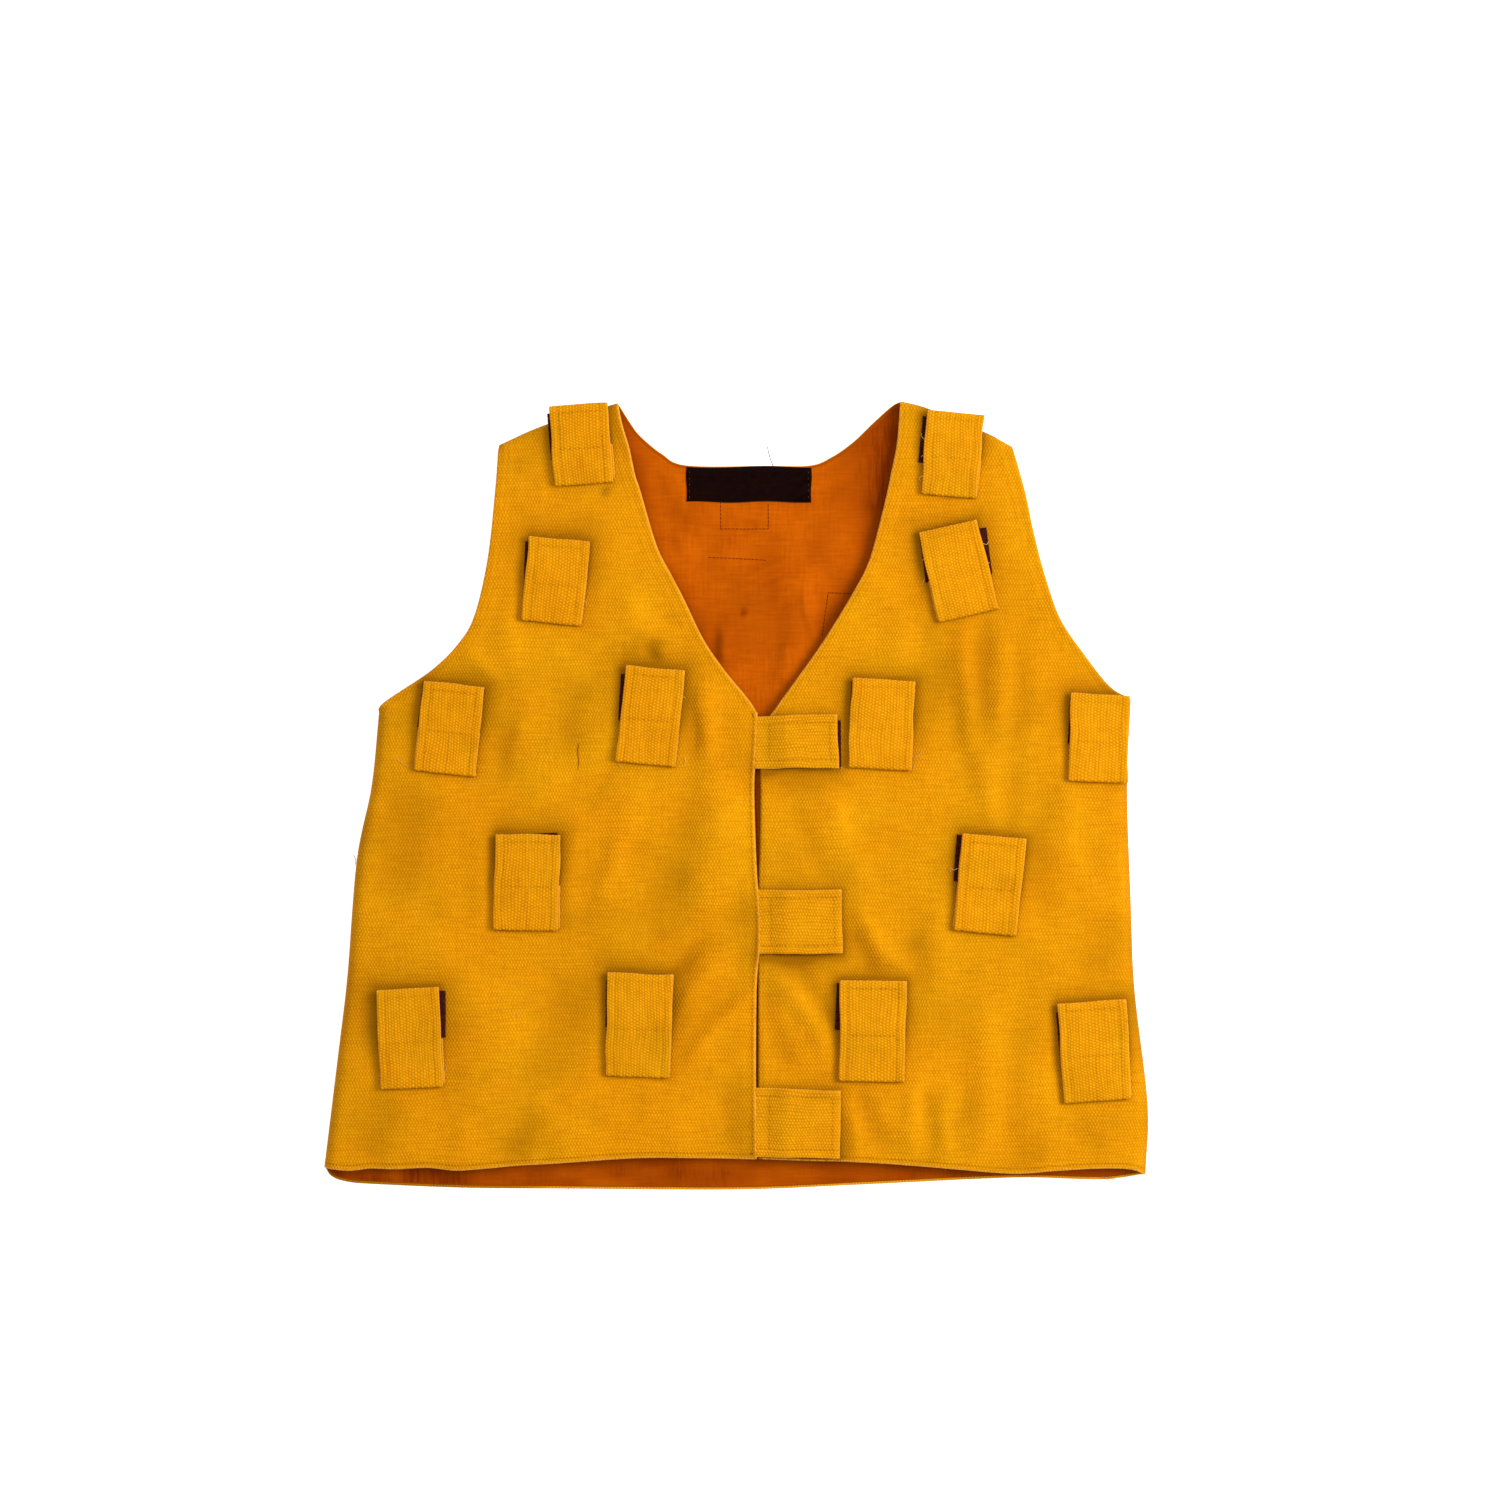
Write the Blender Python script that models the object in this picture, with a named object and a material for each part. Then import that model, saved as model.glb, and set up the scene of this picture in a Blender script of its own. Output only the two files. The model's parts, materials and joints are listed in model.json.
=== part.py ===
"""Child's sleeveless canvas vest with hook-and-loop holding tabs, lying flat, front up.

Units are metres in the scene; every dimension below is in millimetres and is turned into metres once,
when a mesh is made.  +Z is up, +Y points to the shoulders, +X to the viewer's right.  The origin is at
the middle of the bottom of the vest's bounding box.

The vest is laid in layers, from the floor up: the tabs of the back (face down), the back canvas, the
back lining, the space for the wearer, the front linings, the front canvases, the loop patches, the
tab straps.  Both front panels are split along a fold line: the inner flap, with the front edge and the
neck edge, folds open about that line, and the outer part stays with the back.
"""
import bpy
import bmesh
import math
from mathutils import Matrix, Vector

# ----------------------------------------------------------------------------- driving dimensions, mm
MM = 0.001

CANVAS = 1.0            # thickness of the outer canvas
LINING = 0.4            # thickness of the lining
GAP = 0.3               # clear space between touching layers
STRAP = 1.8             # a strap is canvas folded double
ROLL = 2.0              # radius of the strap's folded lower end, on the hinge axis
LOOP = 1.0              # thickness of a loop patch
HOOK = 0.9              # thickness of a hook patch
TAPE = 25.0             # width of the hook-and-loop tape
WEAR_GAP = 6.5          # open space inside the vest as it lies

Z_BACK_STRAP = 0.0      # the back tabs rest on the floor
Z_BACK = 4.6            # underside of the back canvas
Z_BACK_LINING = Z_BACK + CANVAS + GAP
Z_INSIDE = Z_BACK_LINING + LINING
Z_FRONT_LINING = Z_INSIDE + WEAR_GAP
Z_FRONT = Z_FRONT_LINING + LINING + GAP
Z_FRONT_TOP = Z_FRONT + CANVAS
Z_LOOP = Z_FRONT_TOP + GAP
Z_PIVOT = Z_FRONT_TOP + 2.5      # hinge axis of every tab on the front
Z_BACK_PIVOT = ROLL              # hinge axis of every tab on the back

SEAM_LIP = 2.4          # width of the turned side and shoulder seams
LINING_INSET = 3.1      # the lining stops this far inside the canvas edge
FOLD_GAP = 0.4          # half the clear width along a fold line

SAMPLES = 9             # points along each stretch of an outline between two pattern points

# ----------------------------------------------------------------------------- pattern points, mm
# Each curve runs through a handful of pattern points.
LEFT_SHOULDER = [(-64.0, 212.0), (-102.0, 200.5), (-125.0, 190.5), (-128.0, 188.0)]
LEFT_ARMHOLE = [(-128.0, 188.0), (-129.5, 166.0), (-133.5, 129.0), (-140.5, 98.0), (-149.0, 82.5),
                (-164.0, 67.5), (-190.0, 50.0), (-193.0, 44.5)]
LEFT_SIDE = [(-193.0, 44.5), (-197.0, 5.0), (-205.0, -35.0), (-210.0, -97.0), (-215.5, -143.5),
             (-222.5, -201.0)]
LEFT_FRONT_HEM = [(-222.5, -201.0), (-197.0, -201.0), (-142.0, -201.0), (-100.0, -198.5),
                  (-54.0, -195.5), (11.0, -196.0)]
LEFT_FRONT_EDGE = [(11.0, -196.0), (11.2, -100.0), (9.0, 0.0), (11.5, 44.5)]
LEFT_NECK_EDGE = [(11.5, 44.5), (-5.5, 66.5), (-28.5, 106.5), (-43.0, 135.0), (-54.5, 172.5),
                  (-61.5, 200.0), (-64.0, 212.0)]

RIGHT_SHOULDER = [(149.0, 188.5), (135.0, 196.0), (104.0, 209.0), (89.0, 213.0)]
RIGHT_ARMHOLE = [(213.5, 52.0), (202.0, 58.5), (187.5, 76.5), (174.5, 96.0), (166.0, 120.5),
                 (160.0, 144.0), (156.0, 163.0), (149.0, 188.5)]
RIGHT_SIDE = [(221.5, -205.0), (222.5, -166.5), (215.5, -105.0), (213.5, -58.0), (211.5, 4.5),
              (213.5, 52.0)]
RIGHT_FRONT_HEM = [(12.2, -196.0), (64.0, -197.5), (121.0, -201.5), (158.0, -203.5),
                   (197.0, -201.0), (221.5, -205.0)]
RIGHT_FRONT_EDGE = [(13.0, 43.5), (10.4, 0.0), (12.4, -100.0), (12.2, -196.0)]
RIGHT_NECK_EDGE = [(89.0, 213.0), (87.0, 189.0), (80.5, 158.0), (72.5, 128.0), (47.5, 83.5),
                   (23.0, 49.0), (13.0, 43.5)]

BACK_NECK = [(89.0, 213.0), (75.0, 202.0), (63.5, 191.0), (52.0, 183.0), (40.5, 178.5), (7.0, 178.0),
             (-26.5, 178.5), (-40.5, 185.0), (-52.0, 194.5), (-57.0, 201.0), (-64.0, 212.0)]
BACK_HEM = [(-222.5, -201.0), (-219.0, -206.5), (-197.0, -210.5), (-149.0, -212.5), (-93.0, -213.0),
            (0.0, -213.5), (64.0, -211.0), (126.5, -208.0), (159.0, -207.0), (199.0, -208.0),
            (221.5, -205.0)]

# The fold lines, from the shoulder to the hem.
LEFT_FOLD = ((-63.8, 211.5), (-75.5, -199.0))
RIGHT_FOLD = ((89.5, 212.9), (123.0, -201.5))

# ----------------------------------------------------------------------------- tabs, mm and degrees
# name: (x, y of the fold at the tab's foot, turn of the tab about +Z, width, length)
ITEM_TABS = {
    "tab_left_1": (-82.0, 168.5, 4.0, 31.0, 42.0),
    "tab_left_2": (-99.5, 93.5, -6.0, 32.5, 45.0),
    "tab_left_3": (-156.5, 12.5, -6.0, 33.5, 48.0),
    "tab_left_4": (-48.5, 17.5, -5.5, 31.5, 51.5),
    "tab_left_5": (-113.0, -72.0, -1.0, 34.5, 51.0),
    "tab_left_6": (-174.5, -157.0, 2.5, 34.0, 53.0),
    "tab_left_7": (-53.0, -151.0, -2.0, 35.0, 55.0),
    "tab_right_1": (115.0, 162.0, -5.0, 30.0, 44.5),
    "tab_right_2": (125.0, 97.5, 13.0, 32.0, 49.0),
    "tab_right_3": (77.5, 15.0, -3.0, 34.0, 47.5),
    "tab_right_4": (195.0, 8.0, -2.0, 31.0, 46.5),
    "tab_right_5": (134.0, -73.5, -5.5, 34.0, 52.0),
    "tab_right_6": (73.0, -153.5, -1.0, 34.0, 53.5),
    "tab_right_7": (195.0, -164.0, 4.0, 36.0, 53.0),
}
# name: (x, y of the middle of the hinge line, turn, width, length)
CLOSURE_TABS = {
    "closure_tab_1": (13.5, 29.0, 0.5, 28.0, 41.5),
    "closure_tab_2": (14.5, -68.0, 0.5, 34.0, 42.5),
    "closure_tab_3": (13.5, -176.5, -0.5, 37.0, 42.0),
}
# name: (x, y of the fold at the tab's foot, turn, width, length)
BACK_TABS = {
    "tab_back_1": (4.5, 127.0, 0.0, 31.0, 49.0),
    "tab_back_2": (61.0, 60.0, -9.0, 32.0, 49.0),
    "tab_back_3": (-66.0, 60.0, 9.0, 32.0, 49.0),
    "tab_back_4": (2.0, -42.0, 0.0, 34.0, 51.0),
    "tab_back_5": (104.0, -122.0, -3.0, 34.0, 52.0),
    "tab_back_6": (-110.0, -122.0, 3.0, 34.0, 52.0),
}
# The loop patch lies under the strap's upper half and shows a little beside it.
# tab: (shift across the strap, shift along it)
LOOP_SHIFT = {
    "tab_left_1": (-1.5, -2.5), "tab_left_2": (1.0, -0.5), "tab_left_3": (0.0, -1.0),
    "tab_left_4": (-2.0, -0.5), "tab_left_5": (1.0, 1.0), "tab_left_6": (2.0, -0.5),
    "tab_left_7": (-1.5, -1.5), "tab_right_1": (-1.5, -3.0), "tab_right_2": (1.5, -0.5),
    "tab_right_3": (-1.0, 0.0), "tab_right_4": (-1.5, -0.5), "tab_right_5": (-1.5, 1.0),
    "tab_right_6": (-1.5, -0.5), "tab_right_7": (-1.0, -1.5),
}

LABEL_SIZE = (67.5, 18.5, 0.8)
LABEL_AT = (7.0, 168.5)

# ----------------------------------------------------------------------------- materials


def material(name, colour, roughness, metallic=0.0):
    m = bpy.data.materials.new(name)
    m.use_nodes = True
    shader = m.node_tree.nodes["Principled BSDF"]
    shader.inputs["Base Color"].default_value = (*colour, 1.0)
    shader.inputs["Roughness"].default_value = roughness
    shader.inputs["Metallic"].default_value = metallic
    return m


# ----------------------------------------------------------------------------- curves and outlines


def smooth(points):
    """A smooth curve through the pattern points of one edge (Catmull-Rom, centripetal ends)."""
    if len(points) == 2:
        return [Vector(p) for p in points]
    p = [Vector(q) for q in points]
    p = [p[0] * 2 - p[1]] + p + [p[-1] * 2 - p[-2]]
    out = []
    for i in range(1, len(p) - 2):
        a, b, c, d = p[i - 1], p[i], p[i + 1], p[i + 2]
        steps = max(2, min(SAMPLES, int((c - b).length / 7.0) + 1))
        for k in range(steps):
            t = k / steps
            out.append(0.5 * ((2 * b) + (c - a) * t + (2 * a - 5 * b + 4 * c - d) * t * t
                              + (3 * b - 3 * c + d - a) * t ** 3))
    out.append(p[-2].copy())
    return out


def joined(*edges):
    """One closed outline from edges that meet end to end, and the index where each edge starts."""
    outline, starts = [], []
    for e in edges:
        starts.append(len(outline))
        for q in e[:-1]:
            outline.append(q.copy())
    return outline, starts


def area(outline):
    return 0.5 * sum(a.x * b.y - b.x * a.y for a, b in zip(outline, outline[1:] + outline[:1]))


def inset(outline, distance):
    """The outline moved inwards by a distance (counter-clockwise outline, mitred corners)."""
    n, out = len(outline), []
    for i in range(n):
        a, b, c = outline[i - 1], outline[i], outline[(i + 1) % n]
        u, v = (b - a).normalized(), (c - b).normalized()
        nu, nv = Vector((-u.y, u.x)), Vector((-v.y, v.x))
        bis = nu + nv
        if bis.length < 1e-6:
            bis = nu
        bis.normalize()
        out.append(b + bis * distance / max(0.45, bis.dot(nu)))
    return tidy(out)


def tidy(outline):
    """Drops points that an inset has crowded together or turned back on themselves."""
    out = [outline[0]]
    for q in outline[1:]:
        if (q - out[-1]).length > 1.2:
            out.append(q)
    while (out[-1] - out[0]).length < 1.2:
        out.pop()
    return out


def keep_side(outline, a, b, offset):
    """The part of an outline to the left of the line a-b moved left by an offset."""
    a, b = Vector(a), Vector(b)
    d = (b - a).normalized()
    n = Vector((-d.y, d.x))
    side = [(q - a).dot(n) - offset for q in outline]
    out = []
    for i, q in enumerate(outline):
        j = (i + 1) % len(outline)
        if side[i] >= 0:
            out.append(q.copy())
        if side[i] * side[j] < 0:
            t = side[i] / (side[i] - side[j])
            out.append(q.lerp(outline[j], t))
    cleaned = [out[0]]
    for q in out[1:]:
        if (q - cleaned[-1]).length > 0.05:
            cleaned.append(q)
    return cleaned


# ----------------------------------------------------------------------------- solids


def finish(name, bm, mat, parent=None, matrix=None):
    """Turns a bmesh in millimetres into a named object."""
    bmesh.ops.recalc_face_normals(bm, faces=bm.faces)
    if sum(f.calc_center_median().dot(f.normal) * f.calc_area() for f in bm.faces) < 0:
        bmesh.ops.reverse_faces(bm, faces=bm.faces)
    bmesh.ops.scale(bm, vec=(MM, MM, MM), verts=bm.verts)
    mesh = bpy.data.meshes.new(name)
    bm.to_mesh(mesh)
    bm.free()
    obj = bpy.data.objects.new(name, mesh)
    obj.data.materials.append(mat)
    bpy.context.scene.collection.objects.link(obj)
    if parent is not None:
        obj.parent = parent
    if matrix is not None:
        obj.matrix_world = matrix
    return obj


def prism(bm, outline, low, high):
    """A closed slab with a flat top and bottom."""
    bottom = [bm.verts.new((q.x, q.y, low)) for q in outline]
    top = [bm.verts.new((q.x, q.y, high)) for q in outline]
    bm.faces.new(top)
    bm.faces.new(bottom[::-1])
    n = len(outline)
    for i in range(n):
        j = (i + 1) % n
        bm.faces.new((bottom[i], bottom[j], top[j], top[i]))


def panel(name, outline, low, high, mat, parent=None):
    bm = bmesh.new()
    prism(bm, outline, low, high)
    return finish(name, bm, mat, parent)


def lipped_panel(name, outline, seams, low, high, foot, mat, parent=None):
    """A slab whose seam edges are turned down to a lower level.

    seams lists (first, last) indices of the outline, the stretches that are sewn.
    """
    n = len(outline)
    points, lip = [], []          # the outline with a point added a lip's width beyond each end
    spans = []
    order = sorted(seams)
    i = 0
    for first, last in order:
        while i < first:
            points.append(outline[i])
            i += 1
        before = outline[first - 1]
        # a point on the edge before the seam, a lip's width from its corner
        d = before - outline[first]
        extra = outline[first] + d.normalized() * SEAM_LIP
        while points and (points[-1] - outline[first]).length < SEAM_LIP * 1.2:
            points.pop()
        points.append(extra)
        start = len(points) - 1
        for k in range(first, last + 1):
            points.append(outline[k % n])
        after = outline[(last + 1) % n]
        d = after - outline[last % n]
        points.append(outline[last % n] + d.normalized() * SEAM_LIP)
        spans.append((start, len(points) - 1))
        i = last + 1
        while i < n and (outline[i] - outline[last % n]).length < SEAM_LIP * 1.2:
            i += 1
    while i < n:
        points.append(outline[i])
        i += 1
    m = len(points)

    bm = bmesh.new()
    top = [bm.verts.new((q.x, q.y, high)) for q in points]
    inner = {}
    for start, end in spans:
        for k in range(start + 1, end):
            a, b, c = points[k - 1], points[k], points[k + 1]
            u, v = (b - a).normalized(), (c - b).normalized()
            nu, nv = Vector((-u.y, u.x)), Vector((-v.y, v.x))
            bis = (nu + nv).normalized()
            inner[k] = b + bis * SEAM_LIP / max(0.5, bis.dot(nu))
        # the first and last corner of the seam have no inner point of their own
        inner.pop(start + 1)
        inner.pop(end - 1)
    in_span = {}
    for s, (start, end) in enumerate(spans):
        for k in range(start, end + 1):
            in_span[k] = s
    mid = {k: bm.verts.new((points[k].x, points[k].y, low)) for k in range(m)
           if k not in in_span or k in [e for sp in spans for e in sp]}
    foot_out = {k: bm.verts.new((points[k].x, points[k].y, foot)) for k in in_span}
    mid_in = {k: bm.verts.new((q.x, q.y, low)) for k, q in inner.items()}
    foot_in = {k: bm.verts.new((q.x, q.y, foot)) for k, q in inner.items()}

    bm.faces.new(top)
    under = []
    for k in range(m):
        if k in mid:
            under.append(mid[k])
        elif k in mid_in:
            under.append(mid_in[k])
    bm.faces.new(under[::-1])
    for k in range(m):
        j = (k + 1) % m
        same = k in in_span and j in in_span and in_span[k] == in_span[j] and j == k + 1
        if not same:
            bm.faces.new((mid[k], mid[j], top[j], top[k]))
        elif k in mid:             # the short end of a lip, where it leaves the free edge
            bm.faces.new((foot_out[k], foot_out[j], top[j], top[k], mid[k]))
        elif j in mid:
            bm.faces.new((foot_out[k], foot_out[j], mid[j], top[j], top[k]))
        else:
            bm.faces.new((foot_out[k], foot_out[j], top[j], top[k]))
    for start, end in spans:
        chain = [start] + sorted(k for k in inner if start < k < end) + [end]
        low_chain = [foot_out[start]] + [foot_in[k] for k in chain[1:-1]] + [foot_out[end]]
        mid_chain = [mid[start]] + [mid_in[k] for k in chain[1:-1]] + [mid[end]]
        for a in range(len(chain) - 1):
            bm.faces.new((low_chain[a], mid_chain[a], mid_chain[a + 1], low_chain[a + 1]))
        ring = [foot_out[k] for k in range(start, end + 1)] + low_chain[-2:0:-1]
        bm.faces.new(ring[::-1])
    return finish(name, bm, mat, parent)


def strap_profile(length, pad):
    """Side view of a tab: hinge axis at (0, 0), strap towards +s, its hook patch underneath."""
    under = 0.2
    pts = [(length - 0.6, under), (length, under + 0.5), (length, ROLL - 0.5), (length - 0.6, ROLL),
           (0.0, ROLL)]
    last = 2 * math.pi + math.asin(under / ROLL)
    steps = 9
    for k in range(1, steps + 1):
        t = math.pi / 2 + (last - math.pi / 2) * k / steps
        pts.append((ROLL * math.cos(t), ROLL * math.sin(t)))
    if pad:
        a, b = length * 0.46, length - 1.4
        low = under - HOOK - 0.2
        pts += [(a, under), (a, low), (b, low), (b, under)]
    return pts


def strap(name, width, length, pad, mat, parent):
    """A tab's strap, its hinge axis along the local X axis at the object's origin."""
    bm = bmesh.new()
    half = width / 2
    profile = strap_profile(length, pad)
    ends = []
    for x in (-half, half):
        ends.append([bm.verts.new((x, s, z)) for s, z in profile])
    bm.faces.new(ends[0])
    bm.faces.new(ends[1][::-1])
    n = len(profile)
    for i in range(n):
        j = (i + 1) % n
        bm.faces.new((ends[0][i], ends[1][i], ends[1][j], ends[0][j]))
    obj = finish(name, bm, mat)
    obj.parent = parent
    return obj


def patch(name, centre, turn, size, low, thick, mat, parent=None):
    """A sewn patch of tape, its corners clipped a little."""
    w, h = size[0] / 2, size[1] / 2
    c = 1.0
    corners = [(-w, -h + c), (-w + c, -h), (w - c, -h), (w, -h + c), (w, h - c), (w - c, h),
               (-w + c, h), (-w, h - c)]
    rot = Matrix.Rotation(math.radians(turn), 2)
    outline = [rot @ Vector(p) + Vector(centre) for p in corners]
    return panel(name, outline, low, low + thick, mat, parent)


def pivot(name, x, y, z, turn, flip=False, along_y=False):
    """An empty on a tab's hinge axis: its local +Y runs from the hinge to the tab's free end."""
    e = bpy.data.objects.new(name, None)
    e.empty_display_size = 0.01
    bpy.context.scene.collection.objects.link(e)
    m = Matrix.Translation((x * MM, y * MM, z * MM))
    m = m @ Matrix.Rotation(math.radians(turn - (90.0 if along_y else 0.0)), 4, "Z")
    if flip:
        m = m @ Matrix.Rotation(math.pi, 4, "Y")
    e.matrix_world = m
    return e


# ----------------------------------------------------------------------------- the vest


def build():
    for obj in list(bpy.data.objects):
        bpy.data.objects.remove(obj, do_unlink=True)

    canvas = material("mustard_canvas", (0.74, 0.33, 0.008), 0.85)
    canvas_fold = material("mustard_canvas_tab", (0.74, 0.33, 0.01), 0.85)
    lining = material("orange_lining", (0.60, 0.11, 0.006), 0.85)
    loop_tape = material("maroon_loop_tape", (0.055, 0.012, 0.012), 0.95)
    hook_tape = material("dark_hook_tape", (0.03, 0.01, 0.01), 0.6)
    label_weave = material("black_woven_label", (0.012, 0.012, 0.013), 0.7)

    # the edges, each drawn once
    l_shoulder, l_arm, l_side = smooth(LEFT_SHOULDER), smooth(LEFT_ARMHOLE), smooth(LEFT_SIDE)
    l_hem, l_edge, l_neck = smooth(LEFT_FRONT_HEM), smooth(LEFT_FRONT_EDGE), smooth(LEFT_NECK_EDGE)
    r_shoulder, r_arm, r_side = smooth(RIGHT_SHOULDER), smooth(RIGHT_ARMHOLE), smooth(RIGHT_SIDE)
    r_hem, r_edge, r_neck = smooth(RIGHT_FRONT_HEM), smooth(RIGHT_FRONT_EDGE), smooth(RIGHT_NECK_EDGE)
    b_neck, b_hem = smooth(BACK_NECK), smooth(BACK_HEM)

    # back panel: counter-clockwise from the left neck point
    back, at = joined(l_shoulder, l_arm, l_side, b_hem, r_side, r_arm, r_shoulder, b_neck)
    sh_l = (at[0], at[1])
    side_l_hem_side_r = (at[2], at[5])
    sh_r = (at[6], at[7])
    # its sewn edges: the side seams with the hem between them, and the two shoulders
    lipped_panel("back_canvas", back, [(sh_l[0] + 1, sh_l[1]), side_l_hem_side_r,
                                       (sh_r[0], sh_r[1] - 1)],
                 Z_BACK, Z_BACK + CANVAS, Z_BACK_STRAP, canvas)
    panel("back_lining", inset(back, LINING_INSET), Z_BACK_LINING, Z_BACK_LINING + LINING, lining)

    # left front: counter-clockwise
    left, at_l = joined(l_shoulder, l_arm, l_side, l_hem, l_edge, l_neck)
    right, at_r = joined(r_hem, r_side, r_arm, r_shoulder, r_neck, r_edge)
    assert area(back) > 0 and area(left) > 0 and area(right) > 0

    a, b = LEFT_FOLD
    l_side_out = keep_side(left, b, a, FOLD_GAP)
    l_flap_out = keep_side(left, a, b, FOLD_GAP)
    a, b = RIGHT_FOLD
    r_flap_out = keep_side(right, b, a, FOLD_GAP)
    r_side_out = keep_side(right, a, b, FOLD_GAP)

    foot = Z_BACK + CANVAS + GAP

    def seam_indices(outline, edge, trim_first=0, trim_last=0):
        """The stretch of an outline that lies on an edge."""
        hits = [i for i, q in enumerate(outline) if min((q - e).length for e in edge) < 0.01]
        hits.sort()
        # the stretch may run over the end of the list
        for cut in range(1, len(hits)):
            if hits[cut] != hits[cut - 1] + 1:
                raise ValueError("the seam is not one stretch")
        return hits[0] + trim_first, hits[-1] - trim_last

    def rolled(outline, first):
        """The same outline, starting just before a chosen point."""
        k = min(range(len(outline)), key=lambda i: (outline[i] - first).length)
        k = (k - 4) % len(outline)
        return outline[k:] + outline[:k]

    # start both side pieces on the armhole, so that neither seam runs over the end of the list
    l_side_out = rolled(l_side_out, l_arm[len(l_arm) // 2])
    r_side_out = rolled(r_side_out, r_arm[len(r_arm) // 2])
    left_side = lipped_panel("left_side_canvas", l_side_out,
                             [seam_indices(l_side_out, l_side), seam_indices(l_side_out, l_shoulder)],
                             Z_FRONT, Z_FRONT_TOP, foot, canvas)
    right_side = lipped_panel("right_side_canvas", r_side_out,
                              [seam_indices(r_side_out, r_side), seam_indices(r_side_out, r_shoulder)],
                              Z_FRONT, Z_FRONT_TOP, foot, canvas)
    panel("left_side_lining", inset(l_side_out, LINING_INSET), Z_FRONT_LINING,
          Z_FRONT_LINING + LINING, lining)
    panel("right_side_lining", inset(r_side_out, LINING_INSET), Z_FRONT_LINING,
          Z_FRONT_LINING + LINING, lining)

    def hinge_empty(name, fold):
        a, b = fold
        m = ((Vector(a) + Vector(b)) / 2)
        e = bpy.data.objects.new(name, None)
        e.empty_display_size = 0.02
        bpy.context.scene.collection.objects.link(e)
        turn = math.atan2(a[1] - b[1], a[0] - b[0]) - math.pi / 2
        e.matrix_world = (Matrix.Translation((m.x * MM, m.y * MM, Z_FRONT_TOP * MM))
                          @ Matrix.Rotation(turn, 4, "Z"))
        return e

    left_fold = hinge_empty("left_fold_line", LEFT_FOLD)
    right_fold = hinge_empty("right_fold_line", RIGHT_FOLD)

    def under(parent, obj):
        world = obj.matrix_world.copy()
        obj.parent = parent
        obj.matrix_parent_inverse = parent.matrix_world.inverted()
        obj.matrix_world = world
        return obj

    under(left_fold, panel("left_flap_canvas", l_flap_out, Z_FRONT, Z_FRONT_TOP, canvas))
    under(right_fold, panel("right_flap_canvas", r_flap_out, Z_FRONT, Z_FRONT_TOP, canvas))
    under(left_fold, panel("left_flap_lining", inset(l_flap_out, LINING_INSET), Z_FRONT_LINING,
                           Z_FRONT_LINING + LINING, lining))
    under(right_fold, panel("right_flap_lining", inset(r_flap_out, LINING_INSET), Z_FRONT_LINING,
                            Z_FRONT_LINING + LINING, lining))

    # neck label
    patch("neck_label", LABEL_AT, 0.0, LABEL_SIZE[:2], Z_INSIDE + GAP, LABEL_SIZE[2], label_weave)

    # holding tabs on the front
    on_left_flap = ("tab_left_4", "tab_left_7")
    on_right_flap = ("tab_right_3", "tab_right_6")
    for name, (x, y, turn, width, length) in ITEM_TABS.items():
        shift = LOOP_SHIFT[name]
        rot = Matrix.Rotation(math.radians(turn), 2)
        axis = Vector((x, y)) + rot @ Vector((0.0, ROLL))
        e = pivot(name + "_fold", axis.x, axis.y, Z_PIVOT, turn)
        s = strap(name, width, length - ROLL, True, canvas_fold, e)
        s.matrix_parent_inverse = Matrix()
        centre = Vector((x, y)) + rot @ Vector((shift[0], length - 1.0 - TAPE / 2 + shift[1]))
        loop = patch(name.replace("tab", "loop"), centre, turn, (width, TAPE), Z_LOOP, LOOP, loop_tape)
        if name in on_left_flap:
            under(left_fold, e)
            under(left_fold, loop)
        elif name in on_right_flap:
            under(right_fold, e)
            under(right_fold, loop)

    # closure tabs: hinge on the left front edge, loop patch on the right front
    for k, (name, (x, y, turn, width, length)) in enumerate(CLOSURE_TABS.items(), 1):
        e = pivot(name + "_fold", x, y, Z_PIVOT, turn, along_y=True)
        under(left_fold, e)
        s = strap(name, width, length, False, canvas_fold, e)
        s.matrix_parent_inverse = Matrix()
        rot = Matrix.Rotation(math.radians(turn), 2)
        centre = Vector((x, y)) + rot @ Vector((length - 1.4 - TAPE / 2, 0.0))
        under(e, patch("closure_hook_%d" % k, centre, turn, (TAPE - 1.0, width - 4.0),
                       Z_PIVOT + 0.2 - GAP - HOOK + 0.1, HOOK - 0.1, hook_tape))
        centre = Vector((x, y)) + rot @ Vector((length - 0.8 - TAPE / 2, 0.0))
        under(right_fold, patch("closure_loop_%d" % k, centre, turn, (TAPE + 2.0, width - 3.0),
                                Z_LOOP, LOOP, loop_tape))

    # holding tabs on the back, face down
    for name, (x, y, turn, width, length) in BACK_TABS.items():
        rot = Matrix.Rotation(math.radians(turn), 2)
        axis = Vector((x, y)) + rot @ Vector((0.0, ROLL))
        e = pivot(name + "_fold", axis.x, axis.y, Z_BACK_PIVOT, turn, flip=True)
        s = strap(name, width, length - ROLL, False, canvas_fold, e)
        s.matrix_parent_inverse = Matrix()
        centre = Vector((x, y)) + rot @ Vector((0.0, length - 1.0 - TAPE / 2))
        patch(name.replace("tab", "loop"), centre, turn, (width, TAPE), Z_BACK - GAP - LOOP, LOOP,
              loop_tape)

    bpy.context.view_layer.update()


build()
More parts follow.
